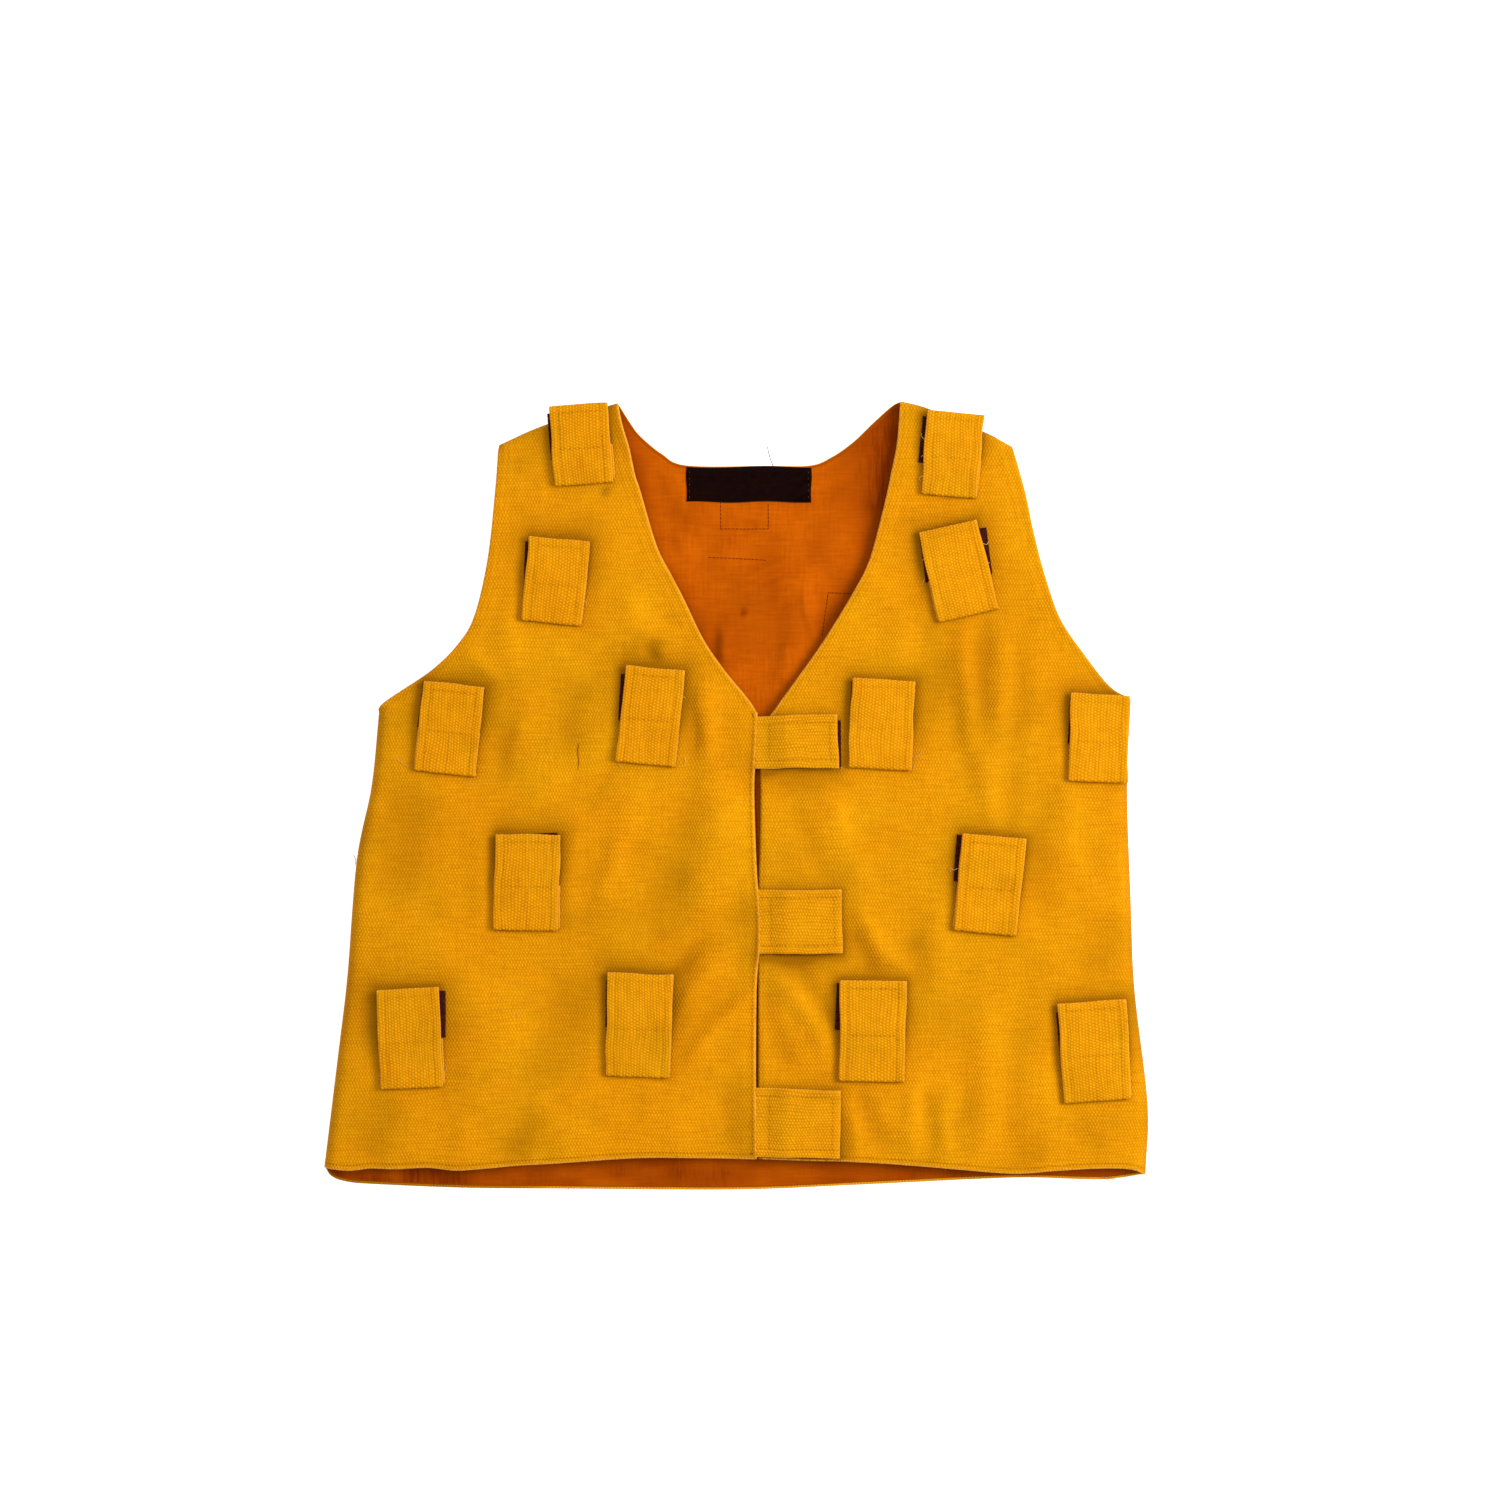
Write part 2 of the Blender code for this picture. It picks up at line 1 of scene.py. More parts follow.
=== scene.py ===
"""Looks of a child's canvas vest with hook-and-loop holding tabs, lying flat, front up.

Everything is in the CAD frame, in metres; the helper tables are in millimetres.
"""
import bpy
import bmesh
import json
import math
import numpy as np
from mathutils import Matrix, Vector
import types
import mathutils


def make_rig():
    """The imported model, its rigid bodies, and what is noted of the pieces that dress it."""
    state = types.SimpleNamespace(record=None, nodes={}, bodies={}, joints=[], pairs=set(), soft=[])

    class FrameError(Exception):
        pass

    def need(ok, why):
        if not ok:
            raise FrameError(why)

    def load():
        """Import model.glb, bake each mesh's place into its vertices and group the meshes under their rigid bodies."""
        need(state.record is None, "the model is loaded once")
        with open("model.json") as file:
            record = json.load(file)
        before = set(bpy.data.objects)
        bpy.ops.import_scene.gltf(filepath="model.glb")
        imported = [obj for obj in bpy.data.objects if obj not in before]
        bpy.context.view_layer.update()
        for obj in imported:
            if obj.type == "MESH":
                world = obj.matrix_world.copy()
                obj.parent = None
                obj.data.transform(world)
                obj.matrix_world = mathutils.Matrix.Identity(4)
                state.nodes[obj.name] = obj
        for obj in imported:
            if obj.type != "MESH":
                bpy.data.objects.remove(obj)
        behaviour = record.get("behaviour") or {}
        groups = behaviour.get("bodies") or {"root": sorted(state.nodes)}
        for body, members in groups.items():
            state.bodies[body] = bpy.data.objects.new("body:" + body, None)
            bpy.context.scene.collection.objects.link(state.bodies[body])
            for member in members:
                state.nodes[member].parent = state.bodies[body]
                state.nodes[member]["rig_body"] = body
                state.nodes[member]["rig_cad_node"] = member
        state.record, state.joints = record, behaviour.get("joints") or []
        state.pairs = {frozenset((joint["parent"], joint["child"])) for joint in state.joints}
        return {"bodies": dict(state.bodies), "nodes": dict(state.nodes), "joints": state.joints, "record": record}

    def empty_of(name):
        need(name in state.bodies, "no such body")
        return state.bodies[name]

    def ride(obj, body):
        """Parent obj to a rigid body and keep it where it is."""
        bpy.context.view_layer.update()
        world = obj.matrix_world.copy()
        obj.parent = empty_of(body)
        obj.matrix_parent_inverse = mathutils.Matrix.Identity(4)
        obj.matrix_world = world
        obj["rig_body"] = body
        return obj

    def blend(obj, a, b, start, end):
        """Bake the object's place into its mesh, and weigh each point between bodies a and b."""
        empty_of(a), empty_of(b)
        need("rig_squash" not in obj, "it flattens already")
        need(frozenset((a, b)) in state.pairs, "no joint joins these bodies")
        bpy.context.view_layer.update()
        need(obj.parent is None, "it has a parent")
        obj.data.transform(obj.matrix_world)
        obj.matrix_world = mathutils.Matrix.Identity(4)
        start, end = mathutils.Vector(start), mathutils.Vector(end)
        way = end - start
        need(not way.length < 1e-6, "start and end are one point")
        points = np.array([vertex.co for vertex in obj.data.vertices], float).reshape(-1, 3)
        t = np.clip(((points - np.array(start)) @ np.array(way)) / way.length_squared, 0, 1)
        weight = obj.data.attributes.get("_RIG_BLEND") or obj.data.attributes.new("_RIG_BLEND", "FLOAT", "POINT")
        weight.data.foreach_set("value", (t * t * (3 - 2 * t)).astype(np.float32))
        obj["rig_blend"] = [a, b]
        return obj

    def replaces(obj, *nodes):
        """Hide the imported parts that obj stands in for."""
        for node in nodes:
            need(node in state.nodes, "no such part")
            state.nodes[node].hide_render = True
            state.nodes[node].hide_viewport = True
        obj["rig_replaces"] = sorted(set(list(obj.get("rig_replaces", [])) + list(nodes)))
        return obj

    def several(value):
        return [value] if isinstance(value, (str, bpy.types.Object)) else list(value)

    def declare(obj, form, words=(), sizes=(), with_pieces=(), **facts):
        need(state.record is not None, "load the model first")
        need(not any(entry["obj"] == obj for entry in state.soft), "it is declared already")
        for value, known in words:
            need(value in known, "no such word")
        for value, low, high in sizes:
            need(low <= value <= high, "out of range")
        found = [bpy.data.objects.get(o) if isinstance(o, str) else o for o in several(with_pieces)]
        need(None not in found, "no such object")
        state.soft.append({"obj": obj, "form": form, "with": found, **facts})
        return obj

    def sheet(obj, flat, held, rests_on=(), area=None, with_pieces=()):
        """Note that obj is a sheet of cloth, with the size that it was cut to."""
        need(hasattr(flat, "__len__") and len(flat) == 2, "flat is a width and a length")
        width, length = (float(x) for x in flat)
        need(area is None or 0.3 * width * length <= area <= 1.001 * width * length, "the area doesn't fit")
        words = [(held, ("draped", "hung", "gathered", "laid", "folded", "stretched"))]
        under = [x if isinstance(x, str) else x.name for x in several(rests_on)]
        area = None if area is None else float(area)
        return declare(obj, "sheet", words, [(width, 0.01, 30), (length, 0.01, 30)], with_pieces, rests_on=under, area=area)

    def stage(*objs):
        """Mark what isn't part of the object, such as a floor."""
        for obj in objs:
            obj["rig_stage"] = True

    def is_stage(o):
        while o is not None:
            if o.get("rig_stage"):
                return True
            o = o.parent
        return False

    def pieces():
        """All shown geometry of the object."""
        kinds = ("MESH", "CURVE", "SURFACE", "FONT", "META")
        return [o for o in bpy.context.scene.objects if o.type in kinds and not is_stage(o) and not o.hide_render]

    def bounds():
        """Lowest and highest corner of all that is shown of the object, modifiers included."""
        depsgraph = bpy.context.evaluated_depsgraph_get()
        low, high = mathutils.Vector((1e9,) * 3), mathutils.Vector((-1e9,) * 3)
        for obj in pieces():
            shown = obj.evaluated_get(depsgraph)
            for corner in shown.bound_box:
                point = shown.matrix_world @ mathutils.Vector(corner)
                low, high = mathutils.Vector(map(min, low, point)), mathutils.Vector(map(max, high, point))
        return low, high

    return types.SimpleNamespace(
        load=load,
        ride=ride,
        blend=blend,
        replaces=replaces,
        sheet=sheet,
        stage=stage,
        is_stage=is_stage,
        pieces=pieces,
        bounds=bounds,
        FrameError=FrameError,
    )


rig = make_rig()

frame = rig.load()
CAD_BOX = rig.bounds()
MM = 0.001
RNG = np.random.RandomState(7)

# ----------------------------------------------------------------------------- camera, lights, floor
scene = bpy.context.scene
scene.view_settings.view_transform = "Standard"
scene.view_settings.look = "None"

VIEW_MM = 810.0                       # width of the view at the vest
cam_data = bpy.data.cameras.new("camera")
cam_data.lens = 100.0
cam_data.sensor_width = 36.0
cam = bpy.data.objects.new("camera", cam_data)
scene.collection.objects.link(cam)
cam.location = (7.6 * MM, 24.6 * MM, VIEW_MM * MM * 100.0 / 36.0 + 0.012)
cam.rotation_euler = (0.0, 0.0, 0.0)
cam_data.clip_end = 20.0
scene.camera = cam

world = bpy.data.worlds.new("studio")
scene.world = world
world.use_nodes = True
world.node_tree.nodes["Background"].inputs["Color"].default_value = (1.0, 0.995, 0.985, 1.0)
world.node_tree.nodes["Background"].inputs["Strength"].default_value = 0.60


def area_light(name, loc, size, power, colour=(1, 1, 1)):
    d = bpy.data.lights.new(name, "AREA")
    d.shape = "SQUARE"
    d.size = size
    d.energy = power
    d.color = colour
    o = bpy.data.objects.new(name, d)
    scene.collection.objects.link(o)
    o.location = loc
    o.rotation_euler = (Vector((0, 0, 0)) - Vector(loc)).to_track_quat("-Z", "Y").to_euler()
    return o


area_light("key", (1.20, 0.25, 1.20), 0.8, 33.0, (1.0, 0.985, 0.96))
area_light("top", (-0.25, 0.5, 2.3), 1.3, 24.0, (1.0, 1.0, 1.0))

floor_mesh = bpy.data.meshes.new("floor")
floor_mesh.from_pydata([(-3, -3, 0), (3, -3, 0), (3, 3, 0), (-3, 3, 0)], [], [(0, 1, 2, 3)])
floor = bpy.data.objects.new("floor", floor_mesh)
floor.location.z = -0.0002
scene.collection.objects.link(floor)
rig.stage(floor)

# ----------------------------------------------------------------------------- materials


class Nodes:
    """Small helper that writes node trees."""

    def __init__(self, name):
        self.mat = bpy.data.materials.new(name)
        self.mat.use_nodes = True
        self.tree = self.mat.node_tree
        self.bsdf = self.tree.nodes["Principled BSDF"]

    def add(self, kind, **props):
        n = self.tree.nodes.new(kind)
        for k, v in props.items():
            setattr(n, k, v)
        return n

    def link(self, a, b):
        self.tree.links.new(a, b)

    def put(self, socket, value):
        if hasattr(value, "is_output") or hasattr(value, "links"):
            self.link(value, socket)
        else:
            socket.default_value = value

    def math(self, op, a, b=0.0, c=0.0, clamp=False):
        n = self.add("ShaderNodeMath", operation=op, use_clamp=clamp)
        self.put(n.inputs[0], a)
        if op not in ("SINE", "COSINE", "ABSOLUTE", "FLOOR", "FRACT", "SQRT"):
            self.put(n.inputs[1], b)
        if op in ("MULTIPLY_ADD",):
            self.put(n.inputs[2], c)
        return n.outputs[0]

    def mix(self, fac, a, b, blend="MIX"):
        n = self.add("ShaderNodeMix", data_type="RGBA", blend_type=blend)
        n.clamp_factor = True
        self.put(n.inputs[0], fac)
        for s, v in ((n.inputs[6], a), (n.inputs[7], b)):
            if isinstance(v, tuple):
                s.default_value = (*v, 1.0) if len(v) == 3 else v
            else:
                self.link(v, s)
        return n.outputs[2]

    def attr(self, name):
        return self.add("ShaderNodeAttribute", attribute_name=name)

    def noise(self, vec, scale, detail=2.0, rough=0.5):
        n = self.add("ShaderNodeTexNoise")
        n.inputs["Scale"].default_value = scale
        n.inputs["Detail"].default_value = detail
        n.inputs["Roughness"].default_value = rough
        self.link(vec, n.inputs["Vector"])
        return n.outputs["Fac"]

    def ramp(self, fac, lo, hi, a=0.0, b=1.0):
        n = self.add("ShaderNodeMapRange", clamp=True)
        n.interpolation_type = "SMOOTHSTEP"
        self.put(n.inputs["Value"], fac)
        n.inputs["From Min"].default_value = lo
        n.inputs["From Max"].default_value = hi
        n.inputs["To Min"].default_value = a
        n.inputs["To Max"].default_value = b
        return n.outputs[0]

    def bump(self, height, strength, distance, normal=None):
        n = self.add("ShaderNodeBump")
        n.inputs["Strength"].default_value = strength
        n.inputs["Distance"].default_value = distance
        self.link(height, n.inputs["Height"])
        if normal is not None:
            self.link(normal, n.inputs["Normal"])
        return n.outputs[0]


def vadd(t, a, b):
    n = t.add("ShaderNodeVectorMath", operation="ADD")
    t.link(a, n.inputs[0])
    t.link(b, n.inputs[1])
    return n.outputs[0]


def scaled(t, vec, s):
    n = t.add("ShaderNodeVectorMath", operation="MULTIPLY")
    t.link(vec, n.inputs[0])
    n.inputs[1].default_value = s
    return n.outputs[0]


def stitch_marks(t, kind):
    """Rows of stitches: how much of a stitch row is here, and where along a stitch it is.

    'seam' holds distances in mm. On a panel: to the row, along it, strength. On a tab: to the side edge,
    to the end, to the cross row; 'seam2' holds the place across, along, and where the centre row shows."""
    sep = t.add("ShaderNodeSeparateXYZ")
    t.link(t.attr("seam").outputs["Vector"], sep.inputs[0])

    def row(d, half=0.45):
        return t.ramp(t.math("ABSOLUTE", d), half * 0.35, half * 1.5, 1.0, 0.0)

    def dots(run, pitch=2.5):
        c = t.math("COSINE", t.math("MULTIPLY", run, 2 * math.pi / pitch))
        return t.math("MULTIPLY_ADD", c, 0.5, 0.5)

    if kind == "panel":
        m = t.math("MULTIPLY", row(sep.outputs[0]), sep.outputs[2], clamp=True)
        return m, dots(sep.outputs[1], 1.9)
    sep2 = t.add("ShaderNodeSeparateXYZ")
    t.link(t.attr("seam2").outputs["Vector"], sep2.inputs[0])
    side, end, cross = sep.outputs
    across, along, centre = sep2.outputs
    inside = t.ramp(side, 3.4, 4.0)
    m_side = row(t.math("SUBTRACT", side, 4.2))
    m_end = t.math("MULTIPLY", row(t.math("SUBTRACT", end, 4.2)), inside)
    m_cross = t.math("MULTIPLY", row(cross, 0.5), inside)
    m_mid = t.math("MULTIPLY", row(across, 0.4), centre)
    da, dx = dots(along), dots(across)
    up = t.math("MAXIMUM", m_side, m_mid)
    flat = t.math("MAXIMUM", m_end, m_cross)
    plain = t.attr("stitched").outputs["Fac"]
    m = t.math("MULTIPLY", t.math("MAXIMUM", up, flat, clamp=True), plain)
    pick = t.math("GREATER_THAN", flat, up)
    d = t.math("ADD", t.math("MULTIPLY", dx, pick),
               t.math("MULTIPLY", da, t.math("SUBTRACT", 1.0, pick)))
    return m, d


def canvas_material(name, colour, pitch, kind="panel", rib=0.28, dots=0.76, contrast=0.18, bump=0.00022,
                    edge=(0.59, 0.262, 0.032), rough=0.82, dark=(0.52, 0.42, 0.25), stitch=0.60):
    """Heavy plain weave. The attribute 'cloth' holds the flat cloth coordinates in metres, x along the ribs;
    'edge' is 1 on a turned or cut edge; 'shade' is 1 where the colour is deepened by painted shade (beside the tabs, in
    creases and grooves, under the closure tabs) and by dirt."""
    t = Nodes(name)
    cloth = t.attr("cloth").outputs["Vector"]
    # slow wander of the threads
    wander = t.add("ShaderNodeTexNoise")
    wander.inputs["Scale"].default_value = 30.0
    wander.inputs["Detail"].default_value = 2.0
    t.link(cloth, wander.inputs["Vector"])
    w = t.add("ShaderNodeVectorMath", operation="SUBTRACT")
    t.link(wander.outputs["Color"], w.inputs[0])
    w.inputs[1].default_value = (0.5, 0.5, 0.5)
    warped = vadd(t, cloth, scaled(t, w.outputs[0], (0.0055, 0.0055, 0.0)))
    jitter = t.add("ShaderNodeTexNoise")
    jitter.inputs["Scale"].default_value = 260.0
    jitter.inputs["Detail"].default_value = 1.0
    t.link(cloth, jitter.inputs["Vector"])
    w2 = t.add("ShaderNodeVectorMath", operation="SUBTRACT")
    t.link(jitter.outputs["Color"], w2.inputs[0])
    w2.inputs[1].default_value = (0.5, 0.5, 0.5)
    warped = vadd(t, warped, scaled(t, w2.outputs[0], (0.0010, 0.0007, 0.0)))
    sep = t.add("ShaderNodeSeparateXYZ")
    t.link(warped, sep.inputs[0])
    k = 2 * math.pi / pitch
    p = t.math("MULTIPLY", sep.outputs[0], k)
    q = t.math("MULTIPLY", sep.outputs[1], k)
    row = t.math("COSINE", q)
    brick = t.math("MULTIPLY", t.math("COSINE", p), t.math("COSINE", t.math("MULTIPLY", q, 0.5)))
    height = t.math("ADD", t.math("MULTIPLY", row, rib), t.math("MULTIPLY", brick, dots))
    # uneven yarn: streaks along the ribs and across them
    streak = t.noise(scaled(t, cloth, (90.0, 1.0 / pitch * 0.9, 1.0)), 1.0, 2.0, 0.6)
    streak2 = t.noise(scaled(t, cloth, (1.0 / pitch * 0.9, 70.0, 1.0)), 1.0, 2.0, 0.6)
    blotch = t.noise(cloth, 24.0, 3.0, 0.55)
    speck = t.noise(cloth, 900.0, 1.0, 0.5)
    v = t.math("MULTIPLY_ADD", height, contrast, 1.0)
    v = t.math("ADD", v, t.math("MULTIPLY", t.math("SUBTRACT", streak, 0.5), 0.30))
    v = t.math("ADD", v, t.math("MULTIPLY", t.math("SUBTRACT", streak2, 0.5), 0.18))
    v = t.math("ADD", v, t.math("MULTIPLY", t.math("SUBTRACT", blotch, 0.5), 0.22))
    v = t.math("ADD", v, t.math("MULTIPLY", t.math("SUBTRACT", speck, 0.5), 0.12))
    base = t.mix(t.ramp(v, 0.50, 1.50), tuple(c * d for c, d in zip(colour, dark)),
                 tuple(min(1.0, c * 2 - c * d) for c, d in zip(colour, (0.52, 0.50, 0.30))))
    tint = t.ramp(t.noise(cloth, 11.0, 3.0, 0.6), 0.35, 0.65)
    base = t.mix(tint, base, (0.935, 1.045, 1.0), blend="MULTIPLY")
    # painted shade and dirt: the colour deepens where 'shade' is high
    shade = t.attr("shade").outputs["Fac"]
    base = t.mix(shade, base, tuple(c * s for c, s in zip(colour, (0.36, 0.33, 0.35))))
    m, d = stitch_marks(t, kind)
    holes = t.math("MULTIPLY", m, t.math("SUBTRACT", 1.0, d), clamp=True)
    base = t.mix(t.math("MULTIPLY", t.math("MULTIPLY_ADD", holes, 0.62, t.math("MULTIPLY", m, 0.28)), stitch, clamp=True),
                 base, tuple(c * s for c, s in zip(colour, (0.34, 0.20, 0.25))))
    edge_at = t.attr("edge").outputs["Fac"]
    edge_noise = t.noise(cloth, 420.0, 2.0, 0.6)
    e = t.math("MULTIPLY", t.ramp(edge_at, 0.35, 0.9, 0.0, 0.85), t.ramp(edge_noise, 0.25, 0.6), clamp=True)
    base = t.mix(e, base, edge)
    t.link(base, t.bsdf.inputs["Base Color"])
    t.link(t.ramp(blotch, 0.2, 0.8, rough - 0.05, rough + 0.07), t.bsdf.inputs["Roughness"])
    t.bsdf.inputs["Sheen Weight"].default_value = 0.06
    t.bsdf.inputs["Sheen Roughness"].default_value = 0.5
    t.bsdf.inputs["Sheen Tint"].default_value = (1.0, 0.55, 0.05, 1.0)
    t.bsdf.inputs["Specular IOR Level"].default_value = 0.03
    t.bsdf.inputs["Specular Tint"].default_value = (1.0, 0.6, 0.1, 1.0)
    fuzz = t.noise(cloth, 2600.0, 2.0, 0.6)
    h2 = t.math("ADD", height, t.math("MULTIPLY", fuzz, 0.30))
    h2 = t.math("SUBTRACT", h2, t.math("MULTIPLY", holes, 1.6))
    h2 = t.math("ADD", h2, t.math("MULTIPLY", t.math("MULTIPLY", m, d), 0.8))
    t.link(t.bump(h2, 0.8, bump), t.bsdf.inputs["Normal"])
    return t.mat


def lining_material(name, colour):
    """Fine plain-weave cotton: slubs both ways, soft mottling, a few dark specks."""
    t = Nodes(name)
    cloth = t.attr("cloth").outputs["Vector"]
    sep = t.add("ShaderNodeSeparateXYZ")
    t.link(cloth, sep.inputs[0])
    k = 2 * math.pi / 0.0009
    weave = t.math("MULTIPLY", t.math("SINE", t.math("MULTIPLY", sep.outputs[0], k)),
                   t.math("SINE", t.math("MULTIPLY", sep.outputs[1], k)))
    slub_h = t.noise(scaled(t, cloth, (60.0, 700.0, 1.0)), 1.0, 3.0, 0.65)
    slub_v = t.noise(scaled(t, cloth, (700.0, 60.0, 1.0)), 1.0, 3.0, 0.65)
    mottle = t.noise(cloth, 30.0, 4.0, 0.6)
    v = t.math("ADD", t.math("MULTIPLY", slub_h, 0.30), t.math("MULTIPLY", slub_v, 0.30))
    v = t.math("ADD", v, t.math("MULTIPLY", mottle, 0.40))
    v = t.math("ADD", v, t.math("MULTIPLY", weave, 0.08))
    dark = tuple(c * s for c, s in zip(colour, (0.66, 0.54, 0.5)))
    light = tuple(c * s for c, s in zip(colour, (1.31, 1.46, 1.5)))
    base = t.mix(t.ramp(v, 0.20, 0.80), dark, light)
    # painted shadow of the fronts on the lining, broken up along the slubs
    shade = t.attr("shade").outputs["Fac"]
    shade = t.math("MULTIPLY", shade, t.ramp(slub_v, 0.32, 0.68, 0.80, 1.20), clamp=True)
    base = t.mix(shade, base, tuple(c * s for c, s in zip(colour, (0.40, 0.27, 0.3))))
    edge_at = t.attr("edge").outputs["Fac"]
    base = t.mix(t.ramp(edge_at, 0.3, 0.9, 0.0, 0.75), base,
                 tuple(c * s for c, s in zip(colour, (0.62, 0.6, 0.6))))
    t.link(base, t.bsdf.inputs["Base Color"])
    t.bsdf.inputs["Roughness"].default_value = 0.85
    t.bsdf.inputs["Sheen Weight"].default_value = 0.05
    t.bsdf.inputs["Sheen Tint"].default_value = (1.0, 0.25, 0.03, 1.0)
    t.bsdf.inputs["Specular IOR Level"].default_value = 0.03
    t.bsdf.inputs["Specular Tint"].default_value = (1.0, 0.4, 0.1, 1.0)
    h = t.math("ADD", t.math("MULTIPLY", weave, 0.4), t.math("ADD", slub_h, slub_v))
    t.link(t.bump(h, 0.6, 0.00012), t.bsdf.inputs["Normal"])
    return t.mat


def pile_material(name, dark, light, scale, bump):
    """Loop pile or hook tape."""
    t = Nodes(name)
    cloth = t.attr("cloth").outputs["Vector"]
    vor = t.add("ShaderNodeTexVoronoi")
    vor.inputs["Scale"].default_value = scale
    t.link(cloth, vor.inputs["Vector"])
    n = t.noise(cloth, scale * 0.35, 3.0, 0.65)
    f = t.math("ADD", t.math("MULTIPLY", vor.outputs["Distance"], 0.7), t.math("MULTIPLY", n, 0.6))
    t.link(t.mix(t.ramp(f, 0.2, 1.0), dark, light), t.bsdf.inputs["Base Color"])
    t.link(t.ramp(n, 0.2, 0.8, 0.75, 0.98), t.bsdf.inputs["Roughness"])
    t.bsdf.inputs["Sheen Weight"].default_value = 0.10
    t.bsdf.inputs["Sheen Roughness"].default_value = 0.6
    t.bsdf.inputs["Sheen Tint"].default_value = (0.35, 0.05, 0.03, 1.0)
    t.bsdf.inputs["Specular IOR Level"].default_value = 0.03
    t.bsdf.inputs["Specular Tint"].default_value = (0.8, 0.3, 0.2, 1.0)
    t.link(t.bump(f, 0.9, bump), t.bsdf.inputs["Normal"])
    return t.mat


def thread_material(name, colour, rough=0.7):
    t = Nodes(name)
    co = t.add("ShaderNodeTexCoord").outputs["Object"]
    n = t.noise(co, 900.0, 2.0, 0.6)
    t.link(t.mix(t.ramp(n, 0.25, 0.75), tuple(c * 0.72 for c in colour),
                 tuple(min(1.0, c * 1.15) for c in colour)), t.bsdf.inputs["Base Color"])
    t.link(t.ramp(n, 0.2, 0.8, rough - 0.08, rough + 0.12), t.bsdf.inputs["Roughness"])
    t.bsdf.inputs["Specular IOR Level"].default_value = 0.04
    t.link(t.bump(n, 0.6, 0.0001), t.bsdf.inputs["Normal"])
    return t.mat


def label_material(name):
    """Black satin-woven tape: fine ribs along its length."""
    t = Nodes(name)
    cloth = t.attr("cloth").outputs["Vector"]
    sep = t.add("ShaderNodeSeparateXYZ")
    t.link(cloth, sep.inputs[0])
    rib = t.math("SINE", t.math("MULTIPLY", sep.outputs[1], 2 * math.pi / 0.0007))
    twill = t.math("SINE", t.math("MULTIPLY", t.math("ADD", sep.outputs[0], sep.outputs[1]),
                                  2 * math.pi / 0.0011))
    n = t.noise(cloth, 260.0, 3.0, 0.6)
    f = t.math("ADD", t.math("MULTIPLY", t.math("ADD", rib, twill), 0.14), n)
    base = t.mix(t.ramp(f, 0.25, 0.85), (0.0008, 0.0002, 0.00015), (0.0060, 0.0013, 0.0010))
    edge_at = t.attr("edge").outputs["Fac"]
    base = t.mix(t.ramp(edge_at, 0.4, 0.9, 0.0, 0.6), base, (0.020, 0.007, 0.005))
    t.link(base, t.bsdf.inputs["Base Color"])
    t.link(t.ramp(n, 0.2, 0.8, 0.42, 0.62), t.bsdf.inputs["Roughness"])
    t.bsdf.inputs["Specular IOR Level"].default_value = 0.03
    t.bsdf.inputs["Specular Tint"].default_value = (1.0, 0.45, 0.4, 1.0)
    t.link(t.bump(f, 0.6, 0.00012), t.bsdf.inputs["Normal"])
    return t.mat


floor_mat = Nodes("studio_floor")
floor_mat.bsdf.inputs["Base Color"].default_value = (0.97, 0.97, 0.97, 1.0)
floor_mat.bsdf.inputs["Roughness"].default_value = 0.9
floor_mat.bsdf.inputs["Specular IOR Level"].default_value = 0.0
floor_mat.bsdf.inputs["Emission Color"].default_value = (1.0, 1.0, 1.0, 1.0)
floor_mat.bsdf.inputs["Emission Strength"].default_value = 0.35
floor_mesh.materials.append(floor_mat.mat)

MUSTARD = (0.548, 0.211, 0.0018)
ORANGE = (0.375, 0.067, 0.0006)
CANVAS = canvas_material("mustard_canvas", MUSTARD, 0.00166)
TAB_CANVAS = canvas_material("mustard_tab_canvas", tuple(c * s for c, s in zip(MUSTARD, (0.960, 0.965, 1.2))),
                             0.00163, kind="tab", rib=0.38, dots=0.70, contrast=0.20, bump=0.00026)
LINING = lining_material("orange_lining", ORANGE)
LOOP_MAT = pile_material("maroon_loop_tape", (0.006, 0.0012, 0.0012), (0.050, 0.010, 0.006), 1500.0, 0.0005)
HOOK_MAT = pile_material("maroon_hook_tape", (0.008, 0.002, 0.002), (0.045, 0.010, 0.007), 1100.0, 0.0004)
THREAD = thread_material("orange_thread", (0.42, 0.12, 0.004))
THREAD_PALE = thread_material("pale_thread_end", (0.60, 0.38, 0.09))
LINING_THREAD = thread_material("lining_stitch", (0.135, 0.015, 0.0012))
LABEL_MAT = label_material("black_woven_label")
LABEL_THREAD = thread_material("label_stitch", (0.085, 0.030, 0.012))
HAIR = thread_material("dark_hair", (0.030, 0.022, 0.018))
DARK_THREAD = thread_material("brown_thread", (0.22, 0.075, 0.004))
SLUB = thread_material("pale_slub", (0.62, 0.30, 0.025))

# ----------------------------------------------------------------------------- pattern points, mm
LEFT_SHOULDER = [(-64.0, 212.0), (-102.0, 200.5), (-125.0, 190.5), (-128.0, 188.0)]
LEFT_ARMHOLE = [(-128.0, 188.0), (-129.5, 166.0), (-133.5, 129.0), (-140.5, 98.0), (-149.0, 82.5),
                (-164.0, 67.5), (-190.0, 50.0), (-193.0, 44.5)]
LEFT_SIDE = [(-193.0, 44.5), (-197.0, 5.0), (-205.0, -35.0), (-210.0, -97.0), (-215.5, -143.5),
             (-222.5, -201.0)]
LEFT_FRONT_HEM = [(-222.5, -201.0), (-209.0, -202.2), (-197.0, -201.0), (-183.5, -201.4), (-166.5, -200.6),
                  (-152.5, -202.0), (-142.0, -201.6), (-117.0, -199.5), (-100.0, -198.5), (-54.0, -195.4),
                  (-23.0, -195.4), (11.0, -196.0)]
